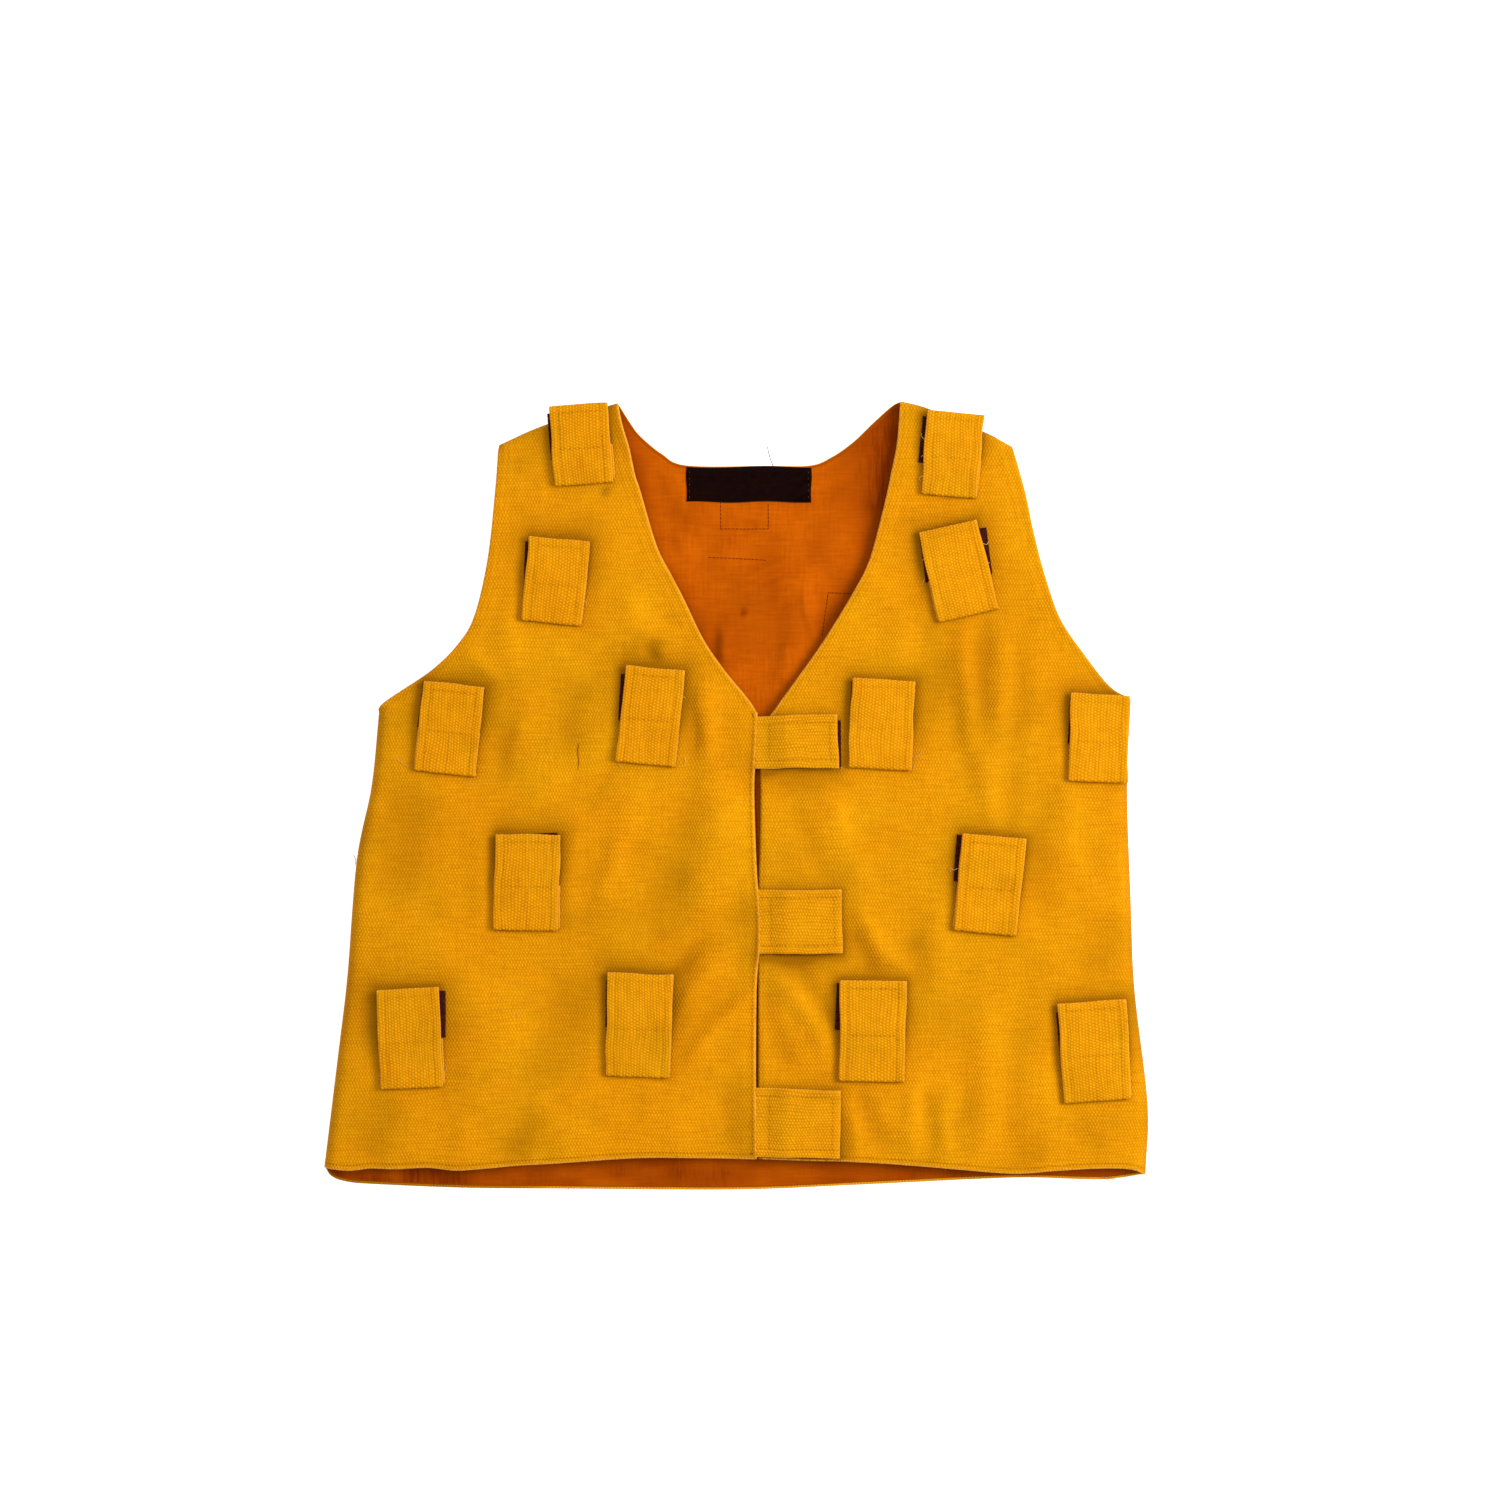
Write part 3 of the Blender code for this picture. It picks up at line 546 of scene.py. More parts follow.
LEFT_FRONT_EDGE = [(11.0, -196.0), (10.6, -150.0), (10.8, -112.0), (11.4, -96.0), (12.7, -83.0), (12.9, -68.0),
                   (12.3, -55.0), (11.3, -44.0), (10.4, -25.0), (9.7, 0.0),
                   (10.0, 14.0), (11.0, 30.0), (11.5, 44.5)]
LEFT_NECK_EDGE = [(11.5, 44.5), (5.9, 52.7), (-5.5, 66.5), (-17.3, 83.5), (-28.5, 106.5), (-35.0, 119.0),
                  (-43.0, 135.0), (-51.8, 164.5), (-54.5, 172.5), (-57.8, 187.7), (-61.5, 200.0),
                  (-64.0, 212.0)]
RIGHT_SHOULDER = [(149.0, 188.5), (142.6, 192.0), (135.0, 196.0), (104.0, 209.0), (89.0, 213.0)]
RIGHT_ARMHOLE = [(213.5, 52.0), (202.0, 58.5), (187.5, 76.5), (174.5, 96.0), (166.0, 120.5),
                 (160.0, 144.0), (156.0, 163.0), (149.0, 188.5)]
RIGHT_SIDE = [(221.5, -205.0), (222.5, -166.5), (215.5, -105.0), (213.5, -58.0), (211.5, 4.5),
              (213.5, 52.0)]
RIGHT_FRONT_HEM = [(12.2, -196.0), (36.0, -196.8), (64.0, -197.5), (95.0, -199.5), (121.0, -201.6),
                   (150.5, -203.8), (172.8, -202.2), (197.0, -201.0), (213.5, -201.6), (221.5, -205.0)]
RIGHT_FRONT_EDGE = [(13.2, 33.0), (13.2, 20.0), (13.4, 0.0), (13.0, -30.0), (12.4, -60.0), (12.2, -196.0)]
RIGHT_NECK_EDGE = [(89.0, 213.0), (88.3, 203.0), (87.0, 189.0), (84.2, 175.3), (80.5, 158.0),
                   (72.5, 128.0), (63.7, 110.0), (47.5, 83.5), (34.0, 64.3), (25.4, 52.4), (19.8, 44.6), (15.6, 38.4), (13.2, 33.0)]
BACK_NECK = [(89.0, 213.0), (84.5, 210.5), (75.0, 202.0), (63.5, 191.0), (52.0, 183.0), (40.5, 178.5),
             (17.0, 178.3), (-26.5, 178.5), (-40.5, 185.0), (-52.0, 194.5), (-57.0, 201.0), (-64.0, 212.0)]
BACK_HEM = [(-222.5, -201.0), (-219.0, -206.5), (-210.5, -209.3), (-197.0, -210.5), (-149.0, -212.5),
            (-93.0, -213.0), (0.0, -213.5), (64.0, -211.0), (126.5, -208.0), (159.0, -207.0),
            (199.0, -208.0), (221.5, -205.0)]
LEFT_FOLD = ((-63.8, 211.5), (-75.5, -199.0))
RIGHT_FOLD = ((89.5, 212.9), (123.0, -201.5))

ITEM_TABS = {
    "tab_left_1": (-82.0, 168.5, 4.0, 31.0, 42.0), "tab_left_2": (-99.5, 93.5, -6.0, 32.5, 45.0),
    "tab_left_3": (-156.5, 12.5, -6.0, 33.5, 48.0), "tab_left_4": (-48.5, 17.5, -5.5, 31.5, 51.5),
    "tab_left_5": (-113.0, -72.0, -1.0, 34.5, 51.0), "tab_left_6": (-174.5, -157.0, 2.5, 34.0, 53.0),
    "tab_left_7": (-53.0, -151.0, -2.0, 35.0, 55.0), "tab_right_1": (115.0, 162.0, -5.0, 30.0, 44.5),
    "tab_right_2": (125.0, 97.5, 13.0, 32.0, 49.0), "tab_right_3": (77.5, 15.0, -3.0, 34.0, 47.5),
    "tab_right_4": (195.0, 8.0, -2.0, 31.0, 46.5), "tab_right_5": (134.0, -73.5, -5.5, 34.0, 52.0),
    "tab_right_6": (73.0, -153.5, -1.0, 35.0, 53.5), "tab_right_7": (195.0, -164.0, 4.0, 36.0, 53.0),
}
CLOSURE_TABS = {
    "closure_tab_1": (13.5, 29.0, 0.5, 28.0, 41.5), "closure_tab_2": (14.5, -68.0, 0.5, 34.0, 42.5),
    "closure_tab_3": (13.5, -176.5, -0.5, 37.0, 42.5),
}
BACK_TABS = {
    "tab_back_1": (4.5, 127.0, 0.0, 31.0, 49.0), "tab_back_2": (61.0, 60.0, -9.0, 32.0, 49.0),
    "tab_back_3": (-66.0, 60.0, 9.0, 32.0, 49.0), "tab_back_4": (2.0, -42.0, 0.0, 34.0, 51.0),
    "tab_back_5": (104.0, -122.0, -3.0, 34.0, 52.0), "tab_back_6": (-110.0, -122.0, 3.0, 34.0, 52.0),
}
ON_LEFT_FLAP = ("tab_left_4", "tab_left_7")
ON_RIGHT_FLAP = ("tab_right_3", "tab_right_6")
# how plainly the stitch rows show on each strap
STITCHED = {"tab_left_1": 0.55, "tab_left_2": 0.35, "tab_left_3": 0.45, "tab_left_4": 0.45, "tab_left_5": 0.40,
            "tab_left_6": 0.30, "tab_left_7": 0.22, "tab_right_1": 0.35, "tab_right_2": 0.20, "tab_right_3": 0.18,
            "tab_right_4": 0.25, "tab_right_5": 0.50, "tab_right_6": 0.60, "tab_right_7": 0.45}
# how each loop patch is turned and shifted against its strap: shift across, shift along, turn, extra width
LOOPS = {
    "tab_left_1": (-1.6, -2.2, 0.3, -0.4), "tab_left_2": (-1.3, -0.8, 4.5, 0.2), "tab_left_3": (-0.7, 0.3, -1.2, 0.0),
    "tab_left_4": (-1.6, -3.2, 2.5, 0.4), "tab_left_5": (0.0, 1.3, 3.4, -1.6), "tab_left_6": (2.3, -0.4, -2.4, 0.4),
    "tab_left_7": (-0.9, -3.0, 1.0, 0.2), "tab_right_1": (-2.6, -2.4, -0.5, 0.5), "tab_right_2": (1.1, -2.6, -5.5, 4.2),
    "tab_right_3": (-0.4, -0.5, 0.5, 0.0), "tab_right_4": (-1.0, -1.2, -0.8, 0.0), "tab_right_5": (-2.2, 0.2, 1.5, 0.5),
    "tab_right_6": (-1.9, -0.9, -1.2, 0.6), "tab_right_7": (-0.5, -3.4, 1.2, 0.4),
}
# how the sewn leg shows beside the strap: shift across, turn
LEGS = {
    "tab_left_1": (2.0, 1.0), "tab_left_4": (0.9, 1.4), "tab_right_7": (0.5, 0.6), "tab_left_3": (-0.5, -0.8),
    "tab_left_6": (0.7, 1.0), "tab_right_5": (-0.5, -0.6), "tab_right_2": (-0.4, 0.8), "tab_left_5": (0.4, -0.6),
}

# ----------------------------------------------------------------------------- curves


def curve(points, n=None):
    """Evenly spaced points on a smooth curve through the given ones (Catmull-Rom)."""
    p = np.array(points, float)
    p = np.vstack([2 * p[0] - p[1], p, 2 * p[-1] - p[-2]])
    out = []
    for i in range(1, len(p) - 2):
        a, b, c, d = p[i - 1], p[i], p[i + 1], p[i + 2]
        t = np.linspace(0, 1, 24, endpoint=False)[:, None]
        out.append(0.5 * (2 * b + (c - a) * t + (2 * a - 5 * b + 4 * c - d) * t ** 2
                          + (3 * b - 3 * c + d - a) * t ** 3))
    out = np.vstack(out + [p[-2][None]])
    if n is None:
        return out
    return resample(out, n)


def resample(line, n):
    s = np.r_[0, np.cumsum(np.linalg.norm(np.diff(line, axis=0), axis=1))]
    u = np.linspace(0, s[-1], n)
    return np.stack([np.interp(u, s, line[:, 0]), np.interp(u, s, line[:, 1])], 1)


def at(line, f):
    """Points at fractions f of a line's length."""
    s = np.r_[0, np.cumsum(np.linalg.norm(np.diff(line, axis=0), axis=1))]
    u = np.asarray(f) * s[-1]
    return np.stack([np.interp(u, s, line[:, 0]), np.interp(u, s, line[:, 1])], -1)


def length(line):
    return float(np.linalg.norm(np.diff(line, axis=0), axis=1).sum())


def dist_run(P, line):
    """Distance from points P (..., 2) to a polyline, and how far along it the nearest point is."""
    Q = P.reshape(-1, 2)
    line = resample(line, max(24, int(length(line) / 3.0)))
    a, b = line[:-1], line[1:]
    ab = b - a
    L2 = np.maximum((ab ** 2).sum(1), 1e-9)
    start = np.r_[0, np.cumsum(np.sqrt(L2))][:-1]
    out, run = np.empty(len(Q)), np.empty(len(Q))
    for i in range(0, len(Q), 4000):
        q = Q[i:i + 4000, None, :]
        t = np.clip(((q - a) * ab).sum(2) / L2, 0, 1)
        d = (((a + t[..., None] * ab) - q) ** 2).sum(2)
        j = d.argmin(1)
        n = np.arange(len(j))
        out[i:i + 4000] = np.sqrt(d[n, j])
        run[i:i + 4000] = start[j] + t[n, j] * np.sqrt(L2[j])
    return out.reshape(P.shape[:-1]), run.reshape(P.shape[:-1])


def dist(P, line):
    return dist_run(P, line)[0]


def smoothstep(x, a, b):
    t = np.clip((x - a) / (b - a), 0, 1)
    return t * t * (3 - 2 * t)


_lattice = np.random.RandomState(11).rand(256, 256)


def wave_noise(x, y, size, seed=0):
    """Smooth noise from -1 to 1 with features about size mm wide."""
    u, v = x / size + seed * 17.31, y / size + seed * 9.73
    i, j = np.floor(u).astype(int), np.floor(v).astype(int)
    fu, fv = u - i, v - j
    fu, fv = fu * fu * fu * (fu * (fu * 6 - 15) + 10), fv * fv * fv * (fv * (fv * 6 - 15) + 10)
    g = lambda a, b: _lattice[a % 256, b % 256]
    top = g(i, j) * (1 - fu) + g(i + 1, j) * fu
    bot = g(i, j + 1) * (1 - fu) + g(i + 1, j + 1) * fu
    return (top * (1 - fv) + bot * fv) * 2 - 1


class Patch:
    """A Coons patch between four edge curves; v1 is where side and armhole meet."""

    def __init__(self, bottom, top, left, right):
        self.b, self.t, self.l, self.r = bottom, top, left, right

    def __call__(self, u, v):
        b, t = at(self.b, u), at(self.t, u)
        l, r = self.l(v), self.r(v)
        U, V = u[..., None], v[..., None]
        b0, b1, t0, t1 = self.b[0], self.b[-1], self.t[0], self.t[-1]
        return ((1 - V) * b + V * t + (1 - U) * l + U * r
                - ((1 - U) * (1 - V) * b0 + U * (1 - V) * b1 + (1 - U) * V * t0 + U * V * t1))


def two_part(low, high, split):
    """A side edge made of two curves, the lower one taking the share 'split' of v."""
    def f(v):
        v = np.asarray(v)
        a = at(low, np.clip(v / split, 0, 1))
        b = at(high, np.clip((v - split) / (1 - split), 0, 1))
        return np.where((v <= split)[..., None], a, b)
    return f


def spread(total, step, low_fine=True, high_fine=True):
    """Parameters from 0 to 1 across a width of total mm, finer beside the edges."""
    fine = np.array([0.0, 0.35, 0.8, 1.5, 2.4, 3.5, 4.6, 5.8])
    lo = fine if low_fine else np.array([0.0])
    hi = (total - fine)[::-1] if high_fine else np.array([total])
    inner = total - lo[-1] - (total - hi[0])
    n = max(2, int(round(inner / step)))
    mid = np.linspace(lo[-1], hi[0], n + 1)[1:-1]
    return np.r_[lo, mid, hi] / total


# ----------------------------------------------------------------------------- creases of the two fronts
# (x0, y0, x1, y1, half width, height): a soft ridge (or a valley, if negative) from one point to the other
CREASES = [
    # left front
    (-52, 0, -78, -62, 9, 1.1), (-66, -24, -84, -70, 8, -0.9), (-36, -40, -44, -80, 12, -0.8),
    (-8, 8, -14, -70, 14, 1.2), (-22, 30, -30, -70, 10, -0.7), (-30, 62, -22, 20, 6, -1.2), (-14, 60, -18, 20, 7, 0.8),
    (-4, -82, -44, -132, 6, 1.3), (-14, -78, -50, -116, 5, -1.1), (10, -104, -26, -142, 6, 1.0),
    (-2, -108, -36, -150, 5, -0.9), (8, -60, -30, -72, 8, -0.6), (-92, -98, -104, -160, 16, -0.8),
    (-128, -108, -140, -190, 18, 0.8), (-108, -170, -124, -200, 10, -0.8), (-84, -150, -92, -200, 14, 0.6),
    (-146, -176, -152, -202, 8, 0.6), (-190, -160, -198, -196, 14, -0.7), (-170, 0, -190, -60, 16, -0.8),
    (-140, -6, -128, -60, 12, 0.7), (-86, 60, -92, 20, 10, -0.8), (-112, 62, -118, 22, 9, 0.7),
    (-124, 40, -126, 8, 6, -0.8), (-100, 132, -74, 150, 8, -0.5), (-124, 96, -118, 66, 9, 0.7),
    (-46, 82, -60, 110, 9, 0.8), (-46, 74, -42, 84, 5, -1.0), (-146, 76, -128, 62, 6, 0.8),
    (-88, -14, -96, -66, 7, 1.0), (-84, -6, -64, 12, 7, -0.5), (-150, -90, -196, -60, 16, 0.5),
    (-20, -160, -36, -192, 12, 0.5), (0, -150, -8, -196, 10, -0.5),
    # right front
    (132, 96, 136, 30, 6.5, -1.1), (144, 92, 141, 14, 7.0, 1.0), (123, 88, 125, 24, 6.0, 1.0),
    (117, 62, 127, 2, 6.0, -1.0), (153, 86, 155, 26, 7.0, -0.6), (162, 70, 160, 20, 8.0, 0.5),
    (110, 80, 108, 40, 7.0, -0.6), (135, 24, 139, -24, 6.0, 0.9), (147, 16, 151, -22, 8.0, -0.7),
    (166, 10, 166, -60, 10.0, -0.9), (176, 36, 182, -40, 7.0, 0.8), (156, -14, 150, -52, 5.5, 1.2),
    (92, 96, 84, 70, 9, 0.9), (104, 136, 96, 100, 8, -0.8), (172, 100, 160, 112, 7, 0.6),
    (30, -4, 58, -58, 7, -0.8), (44, 8, 70, -46, 7, 0.9), (64, -62, 92, -96, 6, 1.1),
    (60, -74, 78, -98, 5, -1.0), (96, -60, 103, -104, 8, -0.6), (109, -54, 108, -110, 8, 0.5),
    (22, -94, 52, -142, 6.5, 1.05), (14, -104, 30, -150, 6.0, -0.8), (35, -92, 58, -134, 6.0, -0.95),
    (66, -158, 82, -194, 6, -1.0), (58, -164, 66, -198, 6, 0.9), (94, -150, 96, -196, 6, 0.9),
    (104, -158, 106, -196, 6, -0.9), (138, -110, 132, -196, 12, 0.9), (126, -120, 122, -190, 9, -0.9),
    (152, -128, 148, -196, 12, -0.8), (170, -90, 168, -190, 12, 0.8), (196, -60, 198, -100, 12, -0.7),
    (180, -176, 200, -196, 10, -0.7), (116, -156, 112, -196, 6, 0.6),
]


def all_tab_rects():
    rects = []
    for name, (x, y, turn, w, l) in ITEM_TABS.items():
        a = math.radians(turn)
        rects.append((x - math.sin(a) * l / 2, y + math.cos(a) * l / 2, a, w / 2, l / 2))
    for name, (x, y, turn, w, l) in CLOSURE_TABS.items():
        a = math.radians(turn)
        rects.append((x + math.cos(a) * l / 2, y + math.sin(a) * l / 2, a, l / 2, w / 2))
    return rects


RECTS = all_tab_rects()


def tab_distance(x, y):
    """Distance to the nearest tab's footprint."""
    best = np.full(x.shape, 1e9)
    for cx, cy, a, hw, hl in RECTS:
        u = (x - cx) * math.cos(a) + (y - cy) * math.sin(a)
        v = -(x - cx) * math.sin(a) + (y - cy) * math.cos(a)
        dx, dy = np.maximum(np.abs(u) - hw, 0), np.maximum(np.abs(v) - hl, 0)
        best = np.minimum(best, np.hypot(dx, dy))
    return best


def creases(x, y):
    z = np.zeros_like(x)
    for x0, y0, x1, y1, w, h in CREASES:
        d = np.array([x1 - x0, y1 - y0], float)
        L = np.hypot(*d)
        d /= L
        s = (x - x0) * d[0] + (y - y0) * d[1]
        c = (x - x0) * -d[1] + (y - y0) * d[0]
        c = c + 1.6 * np.sin(s / L * 5.0 + x0 * 0.37)           # creases aren't ruled lines
        f = s / L
        ends = smoothstep(f, -0.18, 0.25) * (1 - smoothstep(f, 0.70, 1.22))
        z += h * (2.25 if x1 < 10 else 1.5 if y0 > -20 else 1.8) * ends * np.exp(-(c / w) ** 2 * 1.3)
    return z


def front_height(x, y):
    """Height of the front canvas's outer face before its edges are turned."""
    lift = creases(x, y)
    lift += 0.75 * wave_noise(x, y, 46, 1) + 0.34 * wave_noise(x, y * 0.8, 21, 2) + 0.08 * wave_noise(x, y, 9, 3)
    td = tab_distance(x, y)
    free = smoothstep(td, 0.0, 9.0)
    lift = lift * free - 0.15 * (1 - free)
    near = np.exp(-((td - 3.5) / 4.0) ** 2)
    lift -= 0.30 * near
    return 14.5 + lift


# soiled and rubbed places, a broad darker patch on the right chest, and painted shadows under the closure tabs: x, y,
# radius across, radius along, turn, depth
SMUDGES_AND_SHADOWS = [
    (-44, 76, 5, 8, 20, 0.30), (-50, 84, 10, 5, 40, 0.18), (-70, 164, 2.2, 3.5, -40, 0.55), (-66, 158, 6, 12, 10, 0.12),
    (-34, 96, 5, 4, 0, 0.18), (-26, 74, 12, 6, 0, 0.10), (-150, 58, 10, 5, 20, 0.12), (-120, 60, 14, 6, 0, 0.08),
    (-40, -34, 18, 8, -20, 0.10), (-64, -62, 10, 7, 0, 0.12), (-92, -66, 5, 8, 0, 0.22), (-2, -130, 6, 14, 0, 0.12),
    (-76, -170, 8, 8, 0, 0.12), (-180, -110, 12, 8, 0, 0.12), (-150, -130, 8, 14, 0, 0.08), (-100, -190, 20, 6, 0, 0.08),
    (119, 86, 5, 18, 5, 0.14), (146, 88, 8, 14, 0, 0.08), (104, 90, 5, 10, 0, 0.16), (128, 42, 9, 16, 0, 0.16), (138, 66, 36, 46, 0, 0.18), (30, -88.5, 15, 2.6, 0, 0.34), (17, 12.0, 6, 2.6, 0, 0.40),
    (150, 40, 6, 18, 0, 0.14), (96, -80, 6, 6, 0, 0.24), (30, -90, 14, 7, -10, 0.28), (24, -104, 10, 6, 0, 0.16),
    (168, -60, 7, 14, 0, 0.14), (110, -118, 5, 16, 0, 0.12), (130, -170, 6, 16, 0, 0.12), (170, -192, 16, 6, 0, 0.12),
    (176, -150, 6, 14, 0, 0.16), (60, -40, 6, 14, -20, 0.14), (40, 6, 16, 6, 0, 0.18), (98, 30, 4, 18, 0, 0.12),
    (198, -40, 8, 10, 0, 0.10), (-196, -190, 12, 6, 0, 0.10), (-200, -120, 6, 18, 0, 0.08), (58, -140, 5, 12, 0, 0.22),
]


def front_shade_and_dirt(x, y):
    """How much deeper the front's colour is: painted shadow beside the tabs and below the closure tabs, painted shade
    in the valleys with lighter ridges, and dirt where it has been handled.
    """
    out = np.zeros_like(x)
    boxes = [(x0 - math.sin(math.radians(t)) * l / 2, y0 + math.cos(math.radians(t)) * l / 2, math.radians(t), w / 2, l / 2, 0)
             for x0, y0, t, w, l in ITEM_TABS.values()]
    boxes += [(x0 + l / 2, y0, 0.0, l / 2, w / 2, 1) for x0, y0, t, w, l in CLOSURE_TABS.values()]
    # painted shadow round each tab, deepest by its raised end
    for cx, cy, a, hw, hl, closure in boxes:
        u = (x - cx) * math.cos(a) + (y - cy) * math.sin(a)
        v = -(x - cx) * math.sin(a) + (y - cy) * math.cos(a)
        d = np.hypot(np.maximum(np.abs(u) - hw, 0), np.maximum(np.abs(v) - hl, 0))
        high = smoothstep(v / hl, -0.9, 0.5) if not closure else 0.35 + 0.65 * smoothstep(-v / hl, -1.0, 1.0)
        out = np.maximum(out, (0.12 + 0.42 * high) * np.exp(-d / 3.4) + 0.22 * high * np.exp(-(d / 12.0) ** 2)
                         + (0.18 + 0.32 * high) * np.exp(-d / 1.3))
        if closure:
            # a painted shadow band below each closure tab
            below = np.clip(-(v + hl), 0, 30)
            reach = (1 - smoothstep(np.abs(u) - hw, -3, 4)) * (v < -hl)
            out = np.maximum(out, 0.62 * np.exp(-below / 4.0) * reach)
    c = creases(x, y)
    # painted shade in the crease valleys and painted light on their ridges, over an even base
    out += 0.08 + np.clip(-c * 0.14, 0, 0.30) + np.clip(-c * 0.06, -0.08, 0)
    # soil marks, and painted shadow strips under the closure tabs
    for cx, cy, rx, ry, turn, h in SMUDGES_AND_SHADOWS:
        a = math.radians(turn)
        u = (x - cx) * math.cos(a) + (y - cy) * math.sin(a)
        v = -(x - cx) * math.sin(a) + (y - cy) * math.cos(a)
        out += h * np.exp(-((u / rx) ** 2 + (v / ry) ** 2))
    out += 0.10 * np.clip(wave_noise(x, y, 30, 71), 0, 1) + 0.07 * np.clip(wave_noise(x, y, 12, 72), 0, 1)
    return np.clip(out, 0, 0.85)


# ----------------------------------------------------------------------------- mesh making


def make_object(name, verts_mm, faces, mats, face_mats=None, attrs=None, smooth=True, body=None):
    mesh = bpy.data.meshes.new(name)
    mesh.from_pydata([tuple(v) for v in np.asarray(verts_mm) * MM], [], [tuple(map(int, f)) for f in faces])
    for m in mats:
        mesh.materials.append(m)
    if face_mats is not None:
        mesh.polygons.foreach_set("material_index", np.asarray(face_mats, np.int32))
    mesh.polygons.foreach_set("use_smooth", [smooth] * len(mesh.polygons))
    for key, val in (attrs or {}).items():
        val = np.asarray(val, np.float32)
        if val.ndim == 2:
            a = mesh.attributes.new(key, "FLOAT_VECTOR", "POINT")
            a.data.foreach_set("vector", val.ravel())
        else:
            a = mesh.attributes.new(key, "FLOAT", "POINT")
            a.data.foreach_set("value", val)
    mesh.update()
    obj = bpy.data.objects.new(name, mesh)
    scene.collection.objects.link(obj)
    if body is not None:
        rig.ride(obj, body)
    return obj


def sheet_mesh(G, top, bottom, edge=None, shade=None, cloth=None, bulge=0.3, seam=None):
    """A closed thin sheet over the grid G (nv, nu, 2): top and bottom heights, with a round rim.

    Returns vertices, faces and attributes; the first nv*nu vertices are the top."""
    nv, nu = G.shape[:2]
    N = nv * nu
    idx = np.arange(N).reshape(nv, nu)
    P = G.reshape(-1, 2)
    V = [np.c_[P, top.ravel()], np.c_[P, bottom.ravel()]]
    a, b, c, d = idx[:-1, :-1].ravel(), idx[:-1, 1:].ravel(), idx[1:, 1:].ravel(), idx[1:, :-1].ravel()
    F = [np.stack([a, b, c, d], 1), np.stack([a, d, c, b], 1) + N]
    loop = np.r_[idx[0, :-1], idx[:-1, -1], idx[-1, :0:-1], idx[:0:-1, 0]]
    # outward normals along the loop, flat in xy
    Q = P[loop]
    t = np.roll(Q, -1, 0) - np.roll(Q, 1, 0)
    t /= np.maximum(np.linalg.norm(t, axis=1), 1e-9)[:, None]
    out = np.c_[t[:, 1], -t[:, 0]]
    rim = Q + out * bulge
    zt, zb = top.ravel()[loop], bottom.ravel()[loop]
    V.append(np.c_[rim, (zt + zb) / 2])
    m = len(loop)
    k = np.arange(m)
    k2 = (k + 1) % m
    r = 2 * N + k
    r2 = 2 * N + k2
    F.append(np.stack([loop[k], r, r2, loop[k2]], 1))
    F.append(np.stack([r, loop[k] + N, loop[k2] + N, r2], 1))
    V, F = np.vstack(V), np.vstack(F)
    A = {}
    cl = (P if cloth is None else cloth.reshape(-1, 2)) * MM
    A["cloth"] = np.c_[np.vstack([cl, cl, cl[loop]]), np.zeros(len(V))]
    for key, val in (("edge", edge), ("shade", shade)):
        v = np.zeros(N) if val is None else val.ravel()
        A[key] = np.r_[v, v, np.ones(m) if key == "edge" and val is not None else v[loop]]
    if seam is not None:
        q = seam.reshape(-1, 3)
        A["seam"] = np.vstack([q, q, q[loop]])
    return V, F, A


def outward(V, F):
    """Flips the faces if the closed mesh is inside out (volume by the divergence theorem)."""
    p = V[F[:, 0]]
    vol = 0.0
    for i in range(1, F.shape[1] - 1):
        vol += (p * np.cross(V[F[:, i]], V[F[:, i + 1]])).sum()
    return F if vol > 0 else F[:, ::-1]


# ----------------------------------------------------------------------------- the three panels
NV_LOW, NV_UP = 100, 76
SPLIT = 0.56


def v_rows(low_len, up_len, step=2.35):
    lo = spread(low_len, step, True, False) * SPLIT
    up = SPLIT + spread(up_len, step, False, True) * (1 - SPLIT)
    return np.r_[lo, up[1:]]


class Panel:
    def __init__(self, low_l, up_l, low_r, up_r, bottom, top):
        """low_l, up_l ... run upwards; bottom and top run left to right."""
        self.patch = Patch(bottom, top, two_part(low_l, up_l, SPLIT), two_part(low_r, up_r, SPLIT))
        self.low = 0.5 * (length(low_l) + length(low_r))
        self.up = 0.5 * (length(up_l) + length(up_r))
        self.width = length(bottom)

    def grid(self, inset=0.0, step=2.35, top_inset=None):
        u1 = spread(self.width, step)
        v1 = v_rows(self.low, self.up, step)
        u, v = np.meshgrid(u1, v1)
        G = self.patch(u, v)
        if inset:
            w = np.linalg.norm(G[:, -1] - G[:, 0], axis=1)
            e = inset / w
            h = np.linalg.norm(np.diff(G, axis=0), axis=2).sum(0).mean()
            f = inset / h
            u = e[:, None] + u * (1 - 2 * e[:, None])
            g = f if top_inset is None else top_inset / h
            v = f + v * (1 - f - g)
            G = self.patch(u, v)
        return G


left_side_c, left_arm_c = curve(LEFT_SIDE), curve(LEFT_ARMHOLE)
right_side_c, right_arm_c = curve(RIGHT_SIDE), curve(RIGHT_ARMHOLE)
left_sh_c, right_sh_c = curve(LEFT_SHOULDER), curve(RIGHT_SHOULDER)
left_hem_c, right_hem_c = curve(LEFT_FRONT_HEM), curve(RIGHT_FRONT_HEM)
left_edge_c, right_edge_c = curve(LEFT_FRONT_EDGE), curve(RIGHT_FRONT_EDGE)
left_neck_c, right_neck_c = curve(LEFT_NECK_EDGE), curve(RIGHT_NECK_EDGE)
back_neck_c, back_hem_c = curve(BACK_NECK), curve(BACK_HEM)

